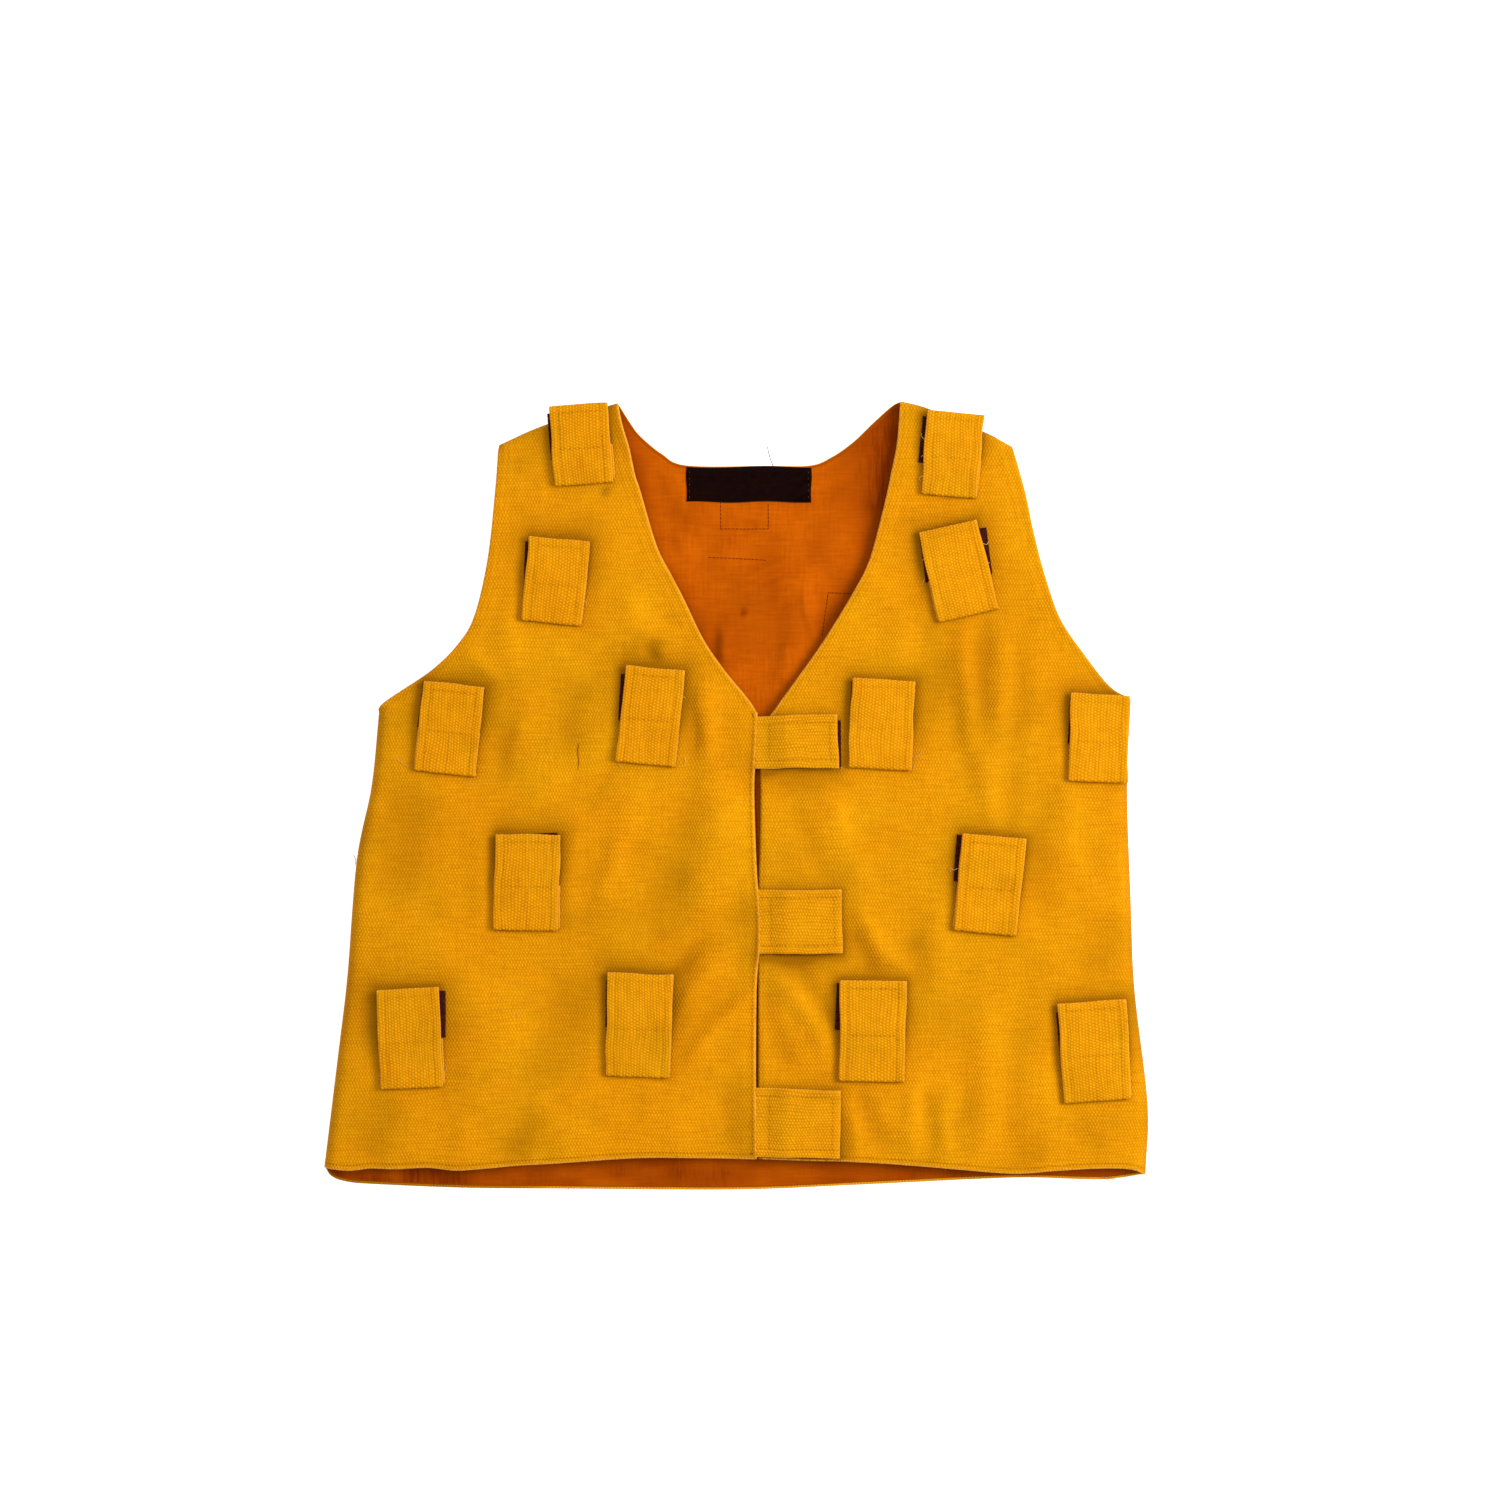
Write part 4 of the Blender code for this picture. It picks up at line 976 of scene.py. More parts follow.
LEFT = Panel(left_side_c[::-1], left_arm_c[::-1], left_edge_c, left_neck_c,
             left_hem_c, left_sh_c[::-1])
RIGHT = Panel(right_edge_c[::-1], right_neck_c[::-1], right_side_c, right_arm_c,
              right_hem_c, right_sh_c[::-1])
BACK = Panel(left_side_c[::-1], left_arm_c[::-1], right_side_c, right_arm_c, back_hem_c,
             np.vstack([left_sh_c[::-1], back_neck_c[::-1][1:], right_sh_c[::-1][1:]]))

SEAMS = {"left": [left_side_c, left_sh_c], "right": [right_side_c, right_sh_c]}
FREE = {
    "left": [left_hem_c, left_edge_c, left_neck_c, left_arm_c],
    "right": [right_hem_c, right_edge_c, right_neck_c, right_arm_c],
}
# edges that show a pale turned fold
PALE = {
    "left": [left_hem_c, left_edge_c, left_neck_c],
    "right": [right_hem_c, right_edge_c, right_neck_c],
}


def many(P, lines):
    d = dist(P, lines[0])
    for l in lines[1:]:
        d = np.minimum(d, dist(P, l))
    return d


def front_surface(G, side):
    """Outer height of a front canvas over the grid, and distances to its edges."""
    x, y = G[..., 0], G[..., 1]
    z = front_height(x, y)
    ds, df = many(G, SEAMS[side]), many(G, FREE[side])
    dsh = dist(G, SEAMS[side][1])
    # the side seam rolls down to meet the back; the shoulder seam a little less
    for d, R, depth in ((dist(G, SEAMS[side][0]), 7.0, 7.2), (dsh, 4.5, 4.6)):
        t = np.clip(1 - d / R, 0, 1)
        z = z - depth * (1 - np.sqrt(np.clip(1 - t * t, 0, 1))) * np.ones_like(z)
        z = z - 0.5 * np.exp(-(d / (R * 2.2)) ** 2)
    # turned hem: a low band with a stitched groove
    band = 1 - smoothstep(df, 5.2, 8.6)
    groove = np.exp(-((df - 4.7) / 0.9) ** 2)
    z = z + 0.32 * band - 0.34 * groove * (0.7 + 0.3 * np.sin((x + y) * 2.1))
    # the free edges don't lie perfectly flat
    edge_wave = np.exp(-df / 9.0)
    z = z + edge_wave * (0.35 * wave_noise(x, y, 17, 5) - 0.25)
    # rounding of the turned fold
    z = z - 0.45 * np.clip(1 - df / 0.9, 0, 1) ** 2
    return z, ds, df


def seam_rows(G, rows, inset=4.7):
    """Signed distance to the stitch row inside the given edges, how far along it, and its strength."""
    best, run = None, None
    for line, strength, *own in rows:
        d, r = dist_run(G, line)
        if own:
            d = d + inset - own[0]
        if best is None:
            best, run, power = d, r, np.full(d.shape, strength)
        else:
            nearer = d < best
            best, run, power = np.where(nearer, d, best), np.where(nearer, r, run), np.where(nearer, strength, power)
    return np.stack([best - inset, run, power], -1)


def front_extra(side, x, y, z):
    """Where a front's edge rides over or under the closure tabs."""
    for cx, cy, turn, w, l in CLOSURE_TABS.values():
        inside = np.exp(-(np.maximum(np.abs(y - cy) - w / 2 + 1.0, 0) / 3.0) ** 2)
        if side == "left":
            z = z + 1.9 * inside * smoothstep(x, -9.0, 9.0)
        else:
            z = z - 0.5 * inside * (1 - smoothstep(x, 22.0, 34.0))
    return z


def build_front(side, panel):
    G = panel.grid()
    z, ds, df = front_surface(G, side)
    z = front_extra(side, G[..., 0], G[..., 1], z)
    thick = 1.0 + 0.7 * (1 - smoothstep(df, 4.6, 8.0)) - 0.7 * np.clip(1 - df / 0.9, 0, 1) ** 2
    thick = np.where(ds < 5, np.minimum(thick, 1.1), thick)
    pale = many(G, PALE[side])
    arm = dist(G, left_arm_c if side == "left" else right_arm_c)
    edge = np.exp(-(pale / 0.95) ** 2) + 0.55 * np.exp(-(arm / 0.6) ** 2)
    # painted shade along the stitched groove inside the free edges and where the side seam rolls down, on top of the
    # front's painted shade and dirt
    shade = front_shade_and_dirt(G[..., 0], G[..., 1]) + 0.10 * np.exp(-((df - 2.5) / 0.9) ** 2)
    side_c, sh_c = SEAMS[side]
    shade += 0.30 * np.exp(-(dist(G, side_c) / 3.0) ** 2)
    if side == "left":
        rows = [(left_hem_c, 0.75, 2.5), (left_edge_c, 0.80, 2.0), (left_neck_c, 0.20, 2.3), (left_arm_c, 0.10, 2.3), (left_sh_c, 0.0)]
    else:
        rows = [(right_hem_c, 0.60, 2.5), (right_edge_c, 0.25, 2.0), (right_neck_c, 0.20, 2.3), (right_arm_c, 0.10, 2.3), (right_sh_c, 0.0)]
    seam = seam_rows(G, rows)
    if side == "right":
        # a painted dark shadow line under the middle closure tab's lower edge, drawn with the stitch-row marks
        x, y = G[..., 0], G[..., 1]
        d = y + 86.1 - 0.009 * (x - 14.0)
        here = (x < 56) & (np.abs(d) < 8)
        power = 1.5 * (1 - smoothstep(x, 38, 50)) * (np.abs(d) < 4)
        seam = np.where(here[..., None], np.stack([d, x, power], -1), seam)
    V, F, A = sheet_mesh(G, z, z - thick, np.clip(edge, 0, 1), np.clip(shade, 0, 0.9), seam=seam)
    # keep the true pale factor on the rim only where the edge is turned
    N = G.shape[0] * G.shape[1]
    rim = V[2 * N:, :2]
    A["edge"][2 * N:] = np.clip(np.exp(-(many(rim, PALE[side]) / 0.8) ** 2)
                                + 0.5 * np.exp(-(dist(rim, left_arm_c if side == "left" else right_arm_c) / 0.8) ** 2), 0, 1)
    A["edge"][N:2 * N] = 0.0
    if side == "right":
        # this front's free edge lies in the other's shadow
        own = dist(V[:, :2], right_edge_c)
        A["edge"] = A["edge"] * smoothstep(own, 1.0, 3.2)
        A["shade"] = np.maximum(A["shade"], 0.62 * np.exp(-(own / 1.3) ** 2))
    F = outward(V, F)
    obj = make_object(f"{side}_front_canvas", V, F, [CANVAS], attrs=A)
    fold = LEFT_FOLD if side == "left" else RIGHT_FOLD
    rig.replaces(obj, f"{side}_side_canvas", f"{side}_flap_canvas")
    area = grid_area(G)
    # lining under it
    H = panel.grid(inset=1.7)
    zl, _, dfl = front_surface(H, side)
    zl = front_extra(side, H[..., 0], H[..., 1], zl)
    dsl = many(H, SEAMS[side])
    under = 1.75 + 0.55 * np.exp(-(dfl / 8.0) ** 2)
    top = zl - under
    V, F, A = sheet_mesh(H, top, top - 0.4, None, None, bulge=0.1)
    F = outward(V, F)
    lin = make_object(f"{side}_front_lining", V, F, [LINING], attrs=A)
    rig.replaces(lin, f"{side}_side_lining", f"{side}_flap_lining")
    return obj, lin, area, grid_area(H)


def grid_area(G):
    d1, d2 = G[1:, 1:] - G[:-1, :-1], G[1:, :-1] - G[:-1, 1:]
    return float(np.abs(d1[..., 0] * d2[..., 1] - d1[..., 1] * d2[..., 0]).sum() / 2) * 1e-6


def fold_blend(obj, side, half=9.0):
    """Bends a sheet between the root and a flap across the fold line."""
    a, b = LEFT_FOLD if side == "left" else RIGHT_FOLD
    a, b = np.array(a), np.array(b)
    m = (a + b) / 2
    d = (a - b) / np.linalg.norm(a - b)
    n = np.array([d[1], -d[0]])            # points to +x
    if side == "right":
        n = -n                             # towards the front edge
    s, e = m - n * half, m + n * half
    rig.blend(obj, "root", f"{side}_flap", (s[0] * MM, s[1] * MM, 0.0145), (e[0] * MM, e[1] * MM, 0.0145))


left_canvas, left_lining, left_area, left_lin_area = build_front("left", LEFT)
right_canvas, right_lining, right_area, right_lin_area = build_front("right", RIGHT)


# ----------------------------------------------------------------------------- back panel


def back_low(G):
    """Underside of the back canvas: it hangs between the tabs of the back and meets the floor at its edges."""
    x, y = G[..., 0], G[..., 1]
    seam = many(G, [left_side_c, right_side_c, left_sh_c, right_sh_c])
    side = many(G, [left_side_c, right_side_c])
    hem = dist(G, back_hem_c)
    free = many(G, [left_arm_c, right_arm_c, back_neck_c])
    z = np.full(x.shape, 4.35)
    z += 0.35 * wave_noise(x, y, 38, 21) + 0.15 * wave_noise(x, y, 15, 22)
    edge = np.minimum(side, hem)
    sink = 1 - smoothstep(edge, 4.0, 34.0)
    z = z * (1 - 0.86 * sink)
    z = np.maximum(z, 0.35)
    # the side seam comes up to meet the front
    t = np.clip(1 - side / 8.0, 0, 1)
    z = z + 5.0 * (1 - np.sqrt(np.clip(1 - t * t, 0, 1)))
    sh = many(G, [left_sh_c, right_sh_c])
    t = np.clip(1 - sh / 5.0, 0, 1)
    z = z + 2.6 * (1 - np.sqrt(np.clip(1 - t * t, 0, 1)))
    return z, seam, hem, free


BACK_CREASES = [
    (-34, 152, -46, 176, 4, -1.2), (-14, 92, -10, 70, 3.5, -1.6), (-8, 90, -4, 72, 4, 1.2), (0, 116, 34, 130, 3.5, 1.3),
    (2, 111, 36, 124, 3.5, -1.2), (38, 112, 42, 84, 3.0, 1.3), (43, 114, 47, 92, 3.5, -1.0), (28, 84, 22, 60, 5, 1.0),
    (-22, 128, -34, 142, 5, 0.9), (24, 150, 58, 168, 5, -1.0), (30, 158, 60, 178, 5, 0.9),
    (-10, 150, 40, 122, 9, -0.9), (0, 108, 34, 118, 9, 1.0), (22, 96, 6, 60, 9, -0.8), (38, 120, 30, 60, 8, 0.9),
    (-20, 100, -24, 62, 7, -1.3), (-30, 120, -14, 84, 7, 0.9), (52, 130, 44, 84, 8, -0.9), (-44, 170, -28, 130, 8, -0.8),
    (60, 176, 52, 140, 8, 0.8), (74, 190, 66, 150, 7, -0.9), (-50, 186, -40, 160, 7, 0.7), (0, 150, -10, 120, 8, 0.6),
]


def back_top(G):
    """Upper face of the back lining."""
    x, y = G[..., 0], G[..., 1]
    low, seam, hem, free = back_low(G)
    z = low + 1.0 + 0.75
    lift = np.zeros_like(x)
    for x0, y0, x1, y1, w, h in BACK_CREASES:
        d = np.array([x1 - x0, y1 - y0], float)
        L = np.hypot(*d)
        d /= L
        s = (x - x0) * d[0] + (y - y0) * d[1]
        c = (x - x0) * -d[1] + (y - y0) * d[0] + 1.4 * np.sin(s / L * 4 + x0)
        f = s / L
        lift += h * 1.7 * smoothstep(f, -0.2, 0.3) * (1 - smoothstep(f, 0.7, 1.2)) * np.exp(-(c / w) ** 2 * 1.3)
    lift += 0.3 * wave_noise(x, y, 24, 31) + 0.12 * wave_noise(x, y, 10, 32)
    gate = smoothstep(np.minimum(np.minimum(seam, hem), free), 1.0, 12.0)
    lift = np.where(lift < 0, -1.7 * (1 - np.exp(lift / 1.7)), lift)
    return z + lift * gate * 0.9 + 1.45 * gate


def back_shade(G):
    """The lining is deeper in colour beside the neck edges, at the right shoulder and along the hem: painted shadow of
    the fronts, lighter low in the V, with a few dark spots, streaks and random tone.
    """
    x, y = G[..., 0], G[..., 1]
    l, r = dist(G, left_neck_c), dist(G, right_neck_c)
    low = 1 - 0.75 * (1 - smoothstep(y, 56, 92))
    out = (0.34 * np.exp(-l / 6.0) + 0.50 * np.exp(-r / 11.0)) * low
    out += 0.62 * smoothstep(x, 40, 84) * smoothstep(y, 110, 190)
    out -= 0.16 * np.exp(-(((x - 3.0) / 24.0) ** 2 + ((y - 62.0) / 16.0) ** 2))
    out += 0.30 * smoothstep(-x, 26, 52) * smoothstep(y, 120, 185)
    out += 0.60 * smoothstep(-y, 186, 196) * (0.80 + 0.30 * wave_noise(x, y * 2.5, 15, 81))
    out += 0.30 * np.exp(-((x - 12.0) / 26.0) ** 2 - ((y - 104.0) / 18.0) ** 2)
    for cx, cy, rx, ry, h in ((4.3, 99, 1.6, 2.0, 0.75), (20, 119, 4, 12, 0.22), (-4, 79, 12, 9, 0.22), (44, 135, 7, 14, 0.22),
                              (-28, 150, 6, 16, 0.18), (-10, 122, 10, 7, 0.12), (52, 100, 8, 10, 0.25)):
        out += h * np.exp(-(((x - cx) / rx) ** 2 + ((y - cy) / ry) ** 2))
    out += smoothstep(-y, 188, 195) * (0.30 * smoothstep(-x, 110, 205) + (0.14 + 0.16 * smoothstep(-x, 110, 190))
                                       * wave_noise(x, y * 0.3, 8, 84))
    out += 0.14 * wave_noise(x, y, 26, 82) + 0.05 * wave_noise(x, y, 9, 83)
    return np.clip(out, 0, 0.9)


def build_back():
    G = BACK.grid(step=2.6)
    low, seam, hem, free = back_low(G)
    d_edge = np.minimum(hem, free)
    thick = 1.0 + 0.25 * (1 - smoothstep(d_edge, 3.0, 6.0))
    top = low + thick
    edge = np.exp(-(d_edge / 0.6) ** 2) * 0.8
    seam = seam_rows(G, [(back_hem_c, 0.7), (back_neck_c, 0.5), (left_arm_c, 0.3), (right_arm_c, 0.3)])
    V, F, A = sheet_mesh(G, top, low, edge, None, seam=seam)
    N = G.shape[0] * G.shape[1]
    rim = V[2 * N:, :2]
    A["edge"][2 * N:] = 0.75 * np.exp(-(many(rim, [back_hem_c, back_neck_c, left_arm_c, right_arm_c]) / 0.8) ** 2)
    at_left = smoothstep(-V[:, 0], 96, 122) * smoothstep(-V[:, 1], 150, 185)
    A["edge"] = A["edge"] * (1 - at_left)
    A["shade"] = np.maximum(A.get("shade", np.zeros(len(V))), 0.75 * at_left * np.exp(-(many(V[:, :2], [back_hem_c]) / 1.6) ** 2))
    canvas = make_object("back_panel_canvas", V, outward(V, F), [CANVAS], attrs=A, body="root")
    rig.replaces(canvas, "back_canvas")
    H = BACK.grid(inset=1.0, step=2.2, top_inset=0.25)
    top = back_top(H)
    _, _, hem, free = back_low(H)
    d_edge = np.minimum(hem, free)
    edge = np.exp(-(d_edge - 1.0) ** 2 / 0.8)
    V, F, A = sheet_mesh(H, top, top - 0.4, edge, back_shade(H), bulge=0.1)
    lining = make_object("back_panel_lining", V, outward(V, F), [LINING], attrs=A, body="root")
    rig.replaces(lining, "back_lining")
    return canvas, lining, grid_area(G), grid_area(H)


back_canvas, back_lining, back_area, back_lin_area = build_back()

# ----------------------------------------------------------------------------- tabs


def strap_grid(width, profile, cols=(0.0, 0.5, 1.2, 2.2, 3.4, 4.2, 5.0, 7.5)):
    """Across positions, finer by the sides."""
    c = np.array(cols)
    inner = np.linspace(c[-1], width - c[-1], max(4, int((width - 2 * c[-1]) / 2.4)) + 1)[1:-1]
    return np.r_[c, inner, (width - c)[::-1]] - width / 2


def strap_mesh(width, path, thick, wob=0.0, seed=0, stitch_sides=True, stitch_cross=(), skew=0.0, flare=0.0,
               centre=True, stitched=0.5):
    """A thick flat strap swept along a path of (s, z) centre points.

    Local x is across, y along, z up. Returns V, F, A with cloth coordinates (along, across)."""
    path = np.array(path, float)
    xs = strap_grid(width, None)
    d = np.gradient(path, axis=0)
    d /= np.linalg.norm(d, axis=1)[:, None]
    nrm = np.c_[-d[:, 1], d[:, 0]]                     # towards the strap's outer face
    run = np.r_[0, np.cumsum(np.linalg.norm(np.diff(path, axis=0), axis=1))]
    S, X = np.meshgrid(run, xs, indexing="ij")
    total = run[-1]
    side = width / 2 - np.abs(X)
    end = total - S
    t = thick * 0.5 * np.ones_like(S)
    t = t - 0.30 * np.clip(1 - side / 0.8, 0, 1) ** 2 - 0.30 * np.clip(1 - end / 0.8, 0, 1) ** 2
    groove = np.zeros_like(S)
    if stitch_sides:
        groove += np.exp(-((side - 4.2) / 0.55) ** 2)
        groove += np.exp(-((end - 4.0) / 0.55) ** 2) * (side > 3.6)
    for g in stitch_cross:
        groove += np.exp(-((S - g * total) / 0.55) ** 2) * (side > 3.6)
    groove = np.clip(groove, 0, 1)
    bumpy = 0.16 * wave_noise(X + seed * 37.0, S, 7.0, 41 + seed) + 0.30 * wobble(X, S, width, total, seed) * wob
    off_top = t - 0.22 * groove + bumpy
    off_bot = -t + 0.10 * groove + bumpy
    # outline isn't ruled: sides wander a little
    wander = 0.42 * wave_noise(S + 40.0 * (X > 0), X * 0 + seed * 3.0, 13.0, 51 + seed) \
        + 0.55 * wave_noise(S * 0.5 + 90.0 * (X > 0), X * 0 + seed * 5.0, 17.0, 57 + seed)
    wander = wander * np.sign(X) * smoothstep(np.abs(X), 0, width / 2)
    droop = 0.45 * wave_noise(X + seed * 23.0, S * 0, 15.0, 63 + seed) * smoothstep(S / max(total, 1e-6), 0.6, 1.0)
    Xs = X + wander + skew * S + flare * X * (S / max(total, 1e-6))
    def place(off):
        c = path[:, None, :] + nrm[:, None, :] * off[..., None]
        return np.stack([Xs, c[..., 0] + droop * (stitch_sides and bool(stitch_cross)), c[..., 1]], -1)
    T, B = place(off_top), place(off_bot)
    nS, nX = S.shape
    N = nS * nX
    idx = np.arange(N).reshape(nS, nX)
    a, b, c, e = idx[:-1, :-1].ravel(), idx[:-1, 1:].ravel(), idx[1:, 1:].ravel(), idx[1:, :-1].ravel()
    F = [np.stack([a, b, c, e], 1), np.stack([a, e, c, b], 1) + N]
    loop = np.r_[idx[0, :-1], idx[:-1, -1], idx[-1, :0:-1], idx[:0:-1, 0]]
    m = len(loop)
    mid = (T.reshape(-1, 3)[loop] + B.reshape(-1, 3)[loop]) / 2
    # two plies: the middle of the rim is pulled in a little
    q = np.stack([Xs.ravel(), S.ravel()], 1)[loop]
    tng = np.roll(q, -1, 0) - np.roll(q, 1, 0)
    tng /= np.maximum(np.linalg.norm(tng, axis=1), 1e-9)[:, None]
    outn = np.c_[tng[:, 1], -tng[:, 0]]
    dirs = outn[:, 0:1] * np.array([[1.0, 0, 0]]) + outn[:, 1:2] * np.c_[np.zeros(len(loop)), d[:, 0][np.repeat(np.arange(nS), nX)[loop]], d[:, 1][np.repeat(np.arange(nS), nX)[loop]]]
    rim = mid + dirs * 0.22
    k = np.arange(m)
    k2 = (k + 1) % m
    r, r2 = 2 * N + k, 2 * N + k2
    F.append(np.stack([loop[k], r, r2, loop[k2]], 1))
    F.append(np.stack([r, loop[k] + N, loop[k2] + N, r2], 1))
    V = np.vstack([T.reshape(-1, 3), B.reshape(-1, 3), rim])
    F = outward(V, np.vstack(F))
    cl = np.stack([S.ravel(), X.ravel()], 1) * MM + np.array([0.013, 0.007]) * (seed + 1)
    edge = np.clip(np.exp(-(side / 0.75) ** 2) * 0.74 + np.exp(-(end / 0.70) ** 2) * 0.66, 0, 1).ravel()
    # painted shade in the stitch grooves and at the foot by the fold, with random darker tone
    shade = (0.10 * groove + 0.12 * np.clip(wave_noise(X + seed * 31.0, S, 11.0, 91), 0, 1)
             + 0.10 * np.clip(1 - S / 4.0, 0, 1)).ravel()
    cross = (S - stitch_cross[0] * total) if stitch_cross else np.full_like(S, 99.0)
    mid = (1 - smoothstep(S, stitch_cross[0] * total - 0.5, stitch_cross[0] * total + 0.5)) if stitch_cross and centre \
        else np.zeros_like(S)
    seam = np.stack([side, end, cross], -1).reshape(-1, 3)
    seam2 = np.stack([X, S, mid * (0.35 + 0.65 * ((seed * 5) % 3) / 2)], -1).reshape(-1, 3)
    A = {"cloth": np.c_[np.vstack([cl, cl, cl[loop]]), np.zeros(len(V))],
         "edge": np.r_[edge, edge, np.full(m, 0.62)],
         "shade": np.r_[shade, shade, np.zeros(m)],
         "seam": np.vstack([seam, seam, seam[loop]]), "seam2": np.vstack([seam2, seam2, seam2[loop]]),
         "stitched": np.full(len(V), stitched)}
    return V, F, A


def wobble(X, S, width, total, seed):
    r = np.random.RandomState(100 + seed)
    a, b, c = r.uniform(-1, 1, 3)
    return (a * np.sin(X / width * 3.1 + b * 3) + b * np.cos(S / total * 4.2 + c * 3)) * smoothstep(S / total, 0.15, 0.6)


def outer_path(L, z_fold, r, z_mid, z_tip):
    """Centre line of the folded strap: round the fold, then up along the outer leg."""
    pts = []
    for a in np.linspace(-90, -270, 11):
        pts.append((r + r * math.cos(math.radians(a)), z_fold + r * math.sin(math.radians(a))))
    start = pts[-1]
    for f in np.linspace(0.03, 1.0, 24):
        s = start[0] + (L - start[0]) * f
        z = start[1] + (z_mid - start[1]) * float(smoothstep(np.array(f), 0.25, 0.56)) \
            + (z_tip - z_mid) * float(smoothstep(np.array(f), 0.75, 1.0))
        pts.append((s, z))
    return pts


def place(V, x, y, turn, flip=False):
    """Local strap coordinates to the row frame, mm."""
    V = np.array(V)
    if flip:
        V = V * np.array([-1.0, 1.0, -1.0])
    a = math.radians(turn)
    R = np.array([[math.cos(a), -math.sin(a), 0], [math.sin(a), math.cos(a), 0], [0, 0, 1]])
    return V @ R.T + np.array([x, y, 0.0])


def tab_point(x, y, turn, along, z):
    a = math.radians(turn)
    return ((x - math.sin(a) * along) * MM, (y + math.cos(a) * along) * MM, z * MM)


def slab(width, height, z0, z1, seed, pile=0.0, step=1.5, round_=0.5):
    """A patch of tape with a soft, uneven upper face. Local frame centred at the patch's centre."""
    nx, ny = max(6, int(width / step)), max(6, int(height / step))
    xs = np.r_[-width / 2, np.linspace(-width / 2 + 0.5, width / 2 - 0.5, nx), width / 2]
    ys = np.r_[-height / 2, np.linspace(-height / 2 + 0.5, height / 2 - 0.5, ny), height / 2]
    X, Y = np.meshgrid(xs, ys)
    edge = np.minimum(width / 2 - np.abs(X), height / 2 - np.abs(Y))
    r = np.random.RandomState(500 + seed)
    top = z1 + pile * (r.rand(*X.shape) - 0.6) - round_ * np.clip(1 - edge / 0.5, 0, 1)
    top -= 0.25 * np.exp(-((edge - 1.8) / 0.6) ** 2)
    X = X + 0.15 * wave_noise(Y, Y * 0, 6, 60 + seed) * np.sign(X)
    G = np.stack([X, Y], -1)
    V, F, A = sheet_mesh(G, top, np.full_like(top, z0), None, None, cloth=G + seed * 9.1, bulge=0.12)
    return V, outward(V, F), A


def tab_body(name):
    return "left_flap" if name in ON_LEFT_FLAP else "right_flap" if name in ON_RIGHT_FLAP else "root"


def segments_mesh(name, segs, radius, mat, sides=5, body=None, arch=0.0, replaced=()):
    """Short threads as closed bent tubes: segs is a list of point lists (mm)."""
    V, F = [], []
    ang = np.linspace(0, 2 * np.pi, sides, endpoint=False)
    for pts in segs:
        pts = np.array(pts, float)
        n = len(pts)
        d = np.gradient(pts, axis=0)
        d /= np.maximum(np.linalg.norm(d, axis=1), 1e-9)[:, None]
        up = np.array([0.0, 0.0, 1.0])
        base = sum(len(v) for v in V)
        rings = []
        for i in range(n):
            s = np.cross(d[i], up)
            if np.linalg.norm(s) < 1e-3:
                s = np.array([1.0, 0, 0])
            s /= np.linalg.norm(s)
            w = np.cross(s, d[i])
            r = radius * (0.55 if i in (0, n - 1) else 1.0)
            rings.append(pts[i] + r * (np.cos(ang)[:, None] * s + np.sin(ang)[:, None] * w))
        V.append(np.vstack(rings))
        for i in range(n - 1):
            for j in range(sides):
                j2 = (j + 1) % sides
                a = base + i * sides
                F.append((a + j, a + sides + j, a + sides + j2, a + j2))
        F.append(tuple(base + j for j in range(sides)))
        F.append(tuple(base + (n - 1) * sides + j for j in range(sides))[::-1])
    V = np.vstack(V)
    mesh_obj = make_object(name, V, F, [mat], smooth=True, body=body)
    bm = bmesh.new()
    bm.from_mesh(mesh_obj.data)
    bmesh.ops.recalc_face_normals(bm, faces=bm.faces)
    bm.to_mesh(mesh_obj.data)
    bm.free()
    return mesh_obj


def stitch_line(line, height, pitch=2.6, gap=0.8, lift=0.22, seed=0):
    """Stitches along a 2D line; height gives the cloth's surface there."""
    L = length(line)
    r = np.random.RandomState(900 + seed)
    segs = []
    n = int(L / pitch)
    for i in range(n):
        a, b = (i * pitch + gap / 2) / L, ((i + 1) * pitch - gap / 2) / L
        f = np.linspace(a, b, 4)
        P = at(line, f)
        P = P + r.uniform(-0.07, 0.07, 2)
        z = height(P[:, 0], P[:, 1])
        z = z + np.array([-0.12, lift, lift, -0.12])
        segs.append(np.c_[P, z])
    return segs


STRAPS = []
sheets = []
pale_ends = {"root": [], "left_flap": [], "right_flap": []}

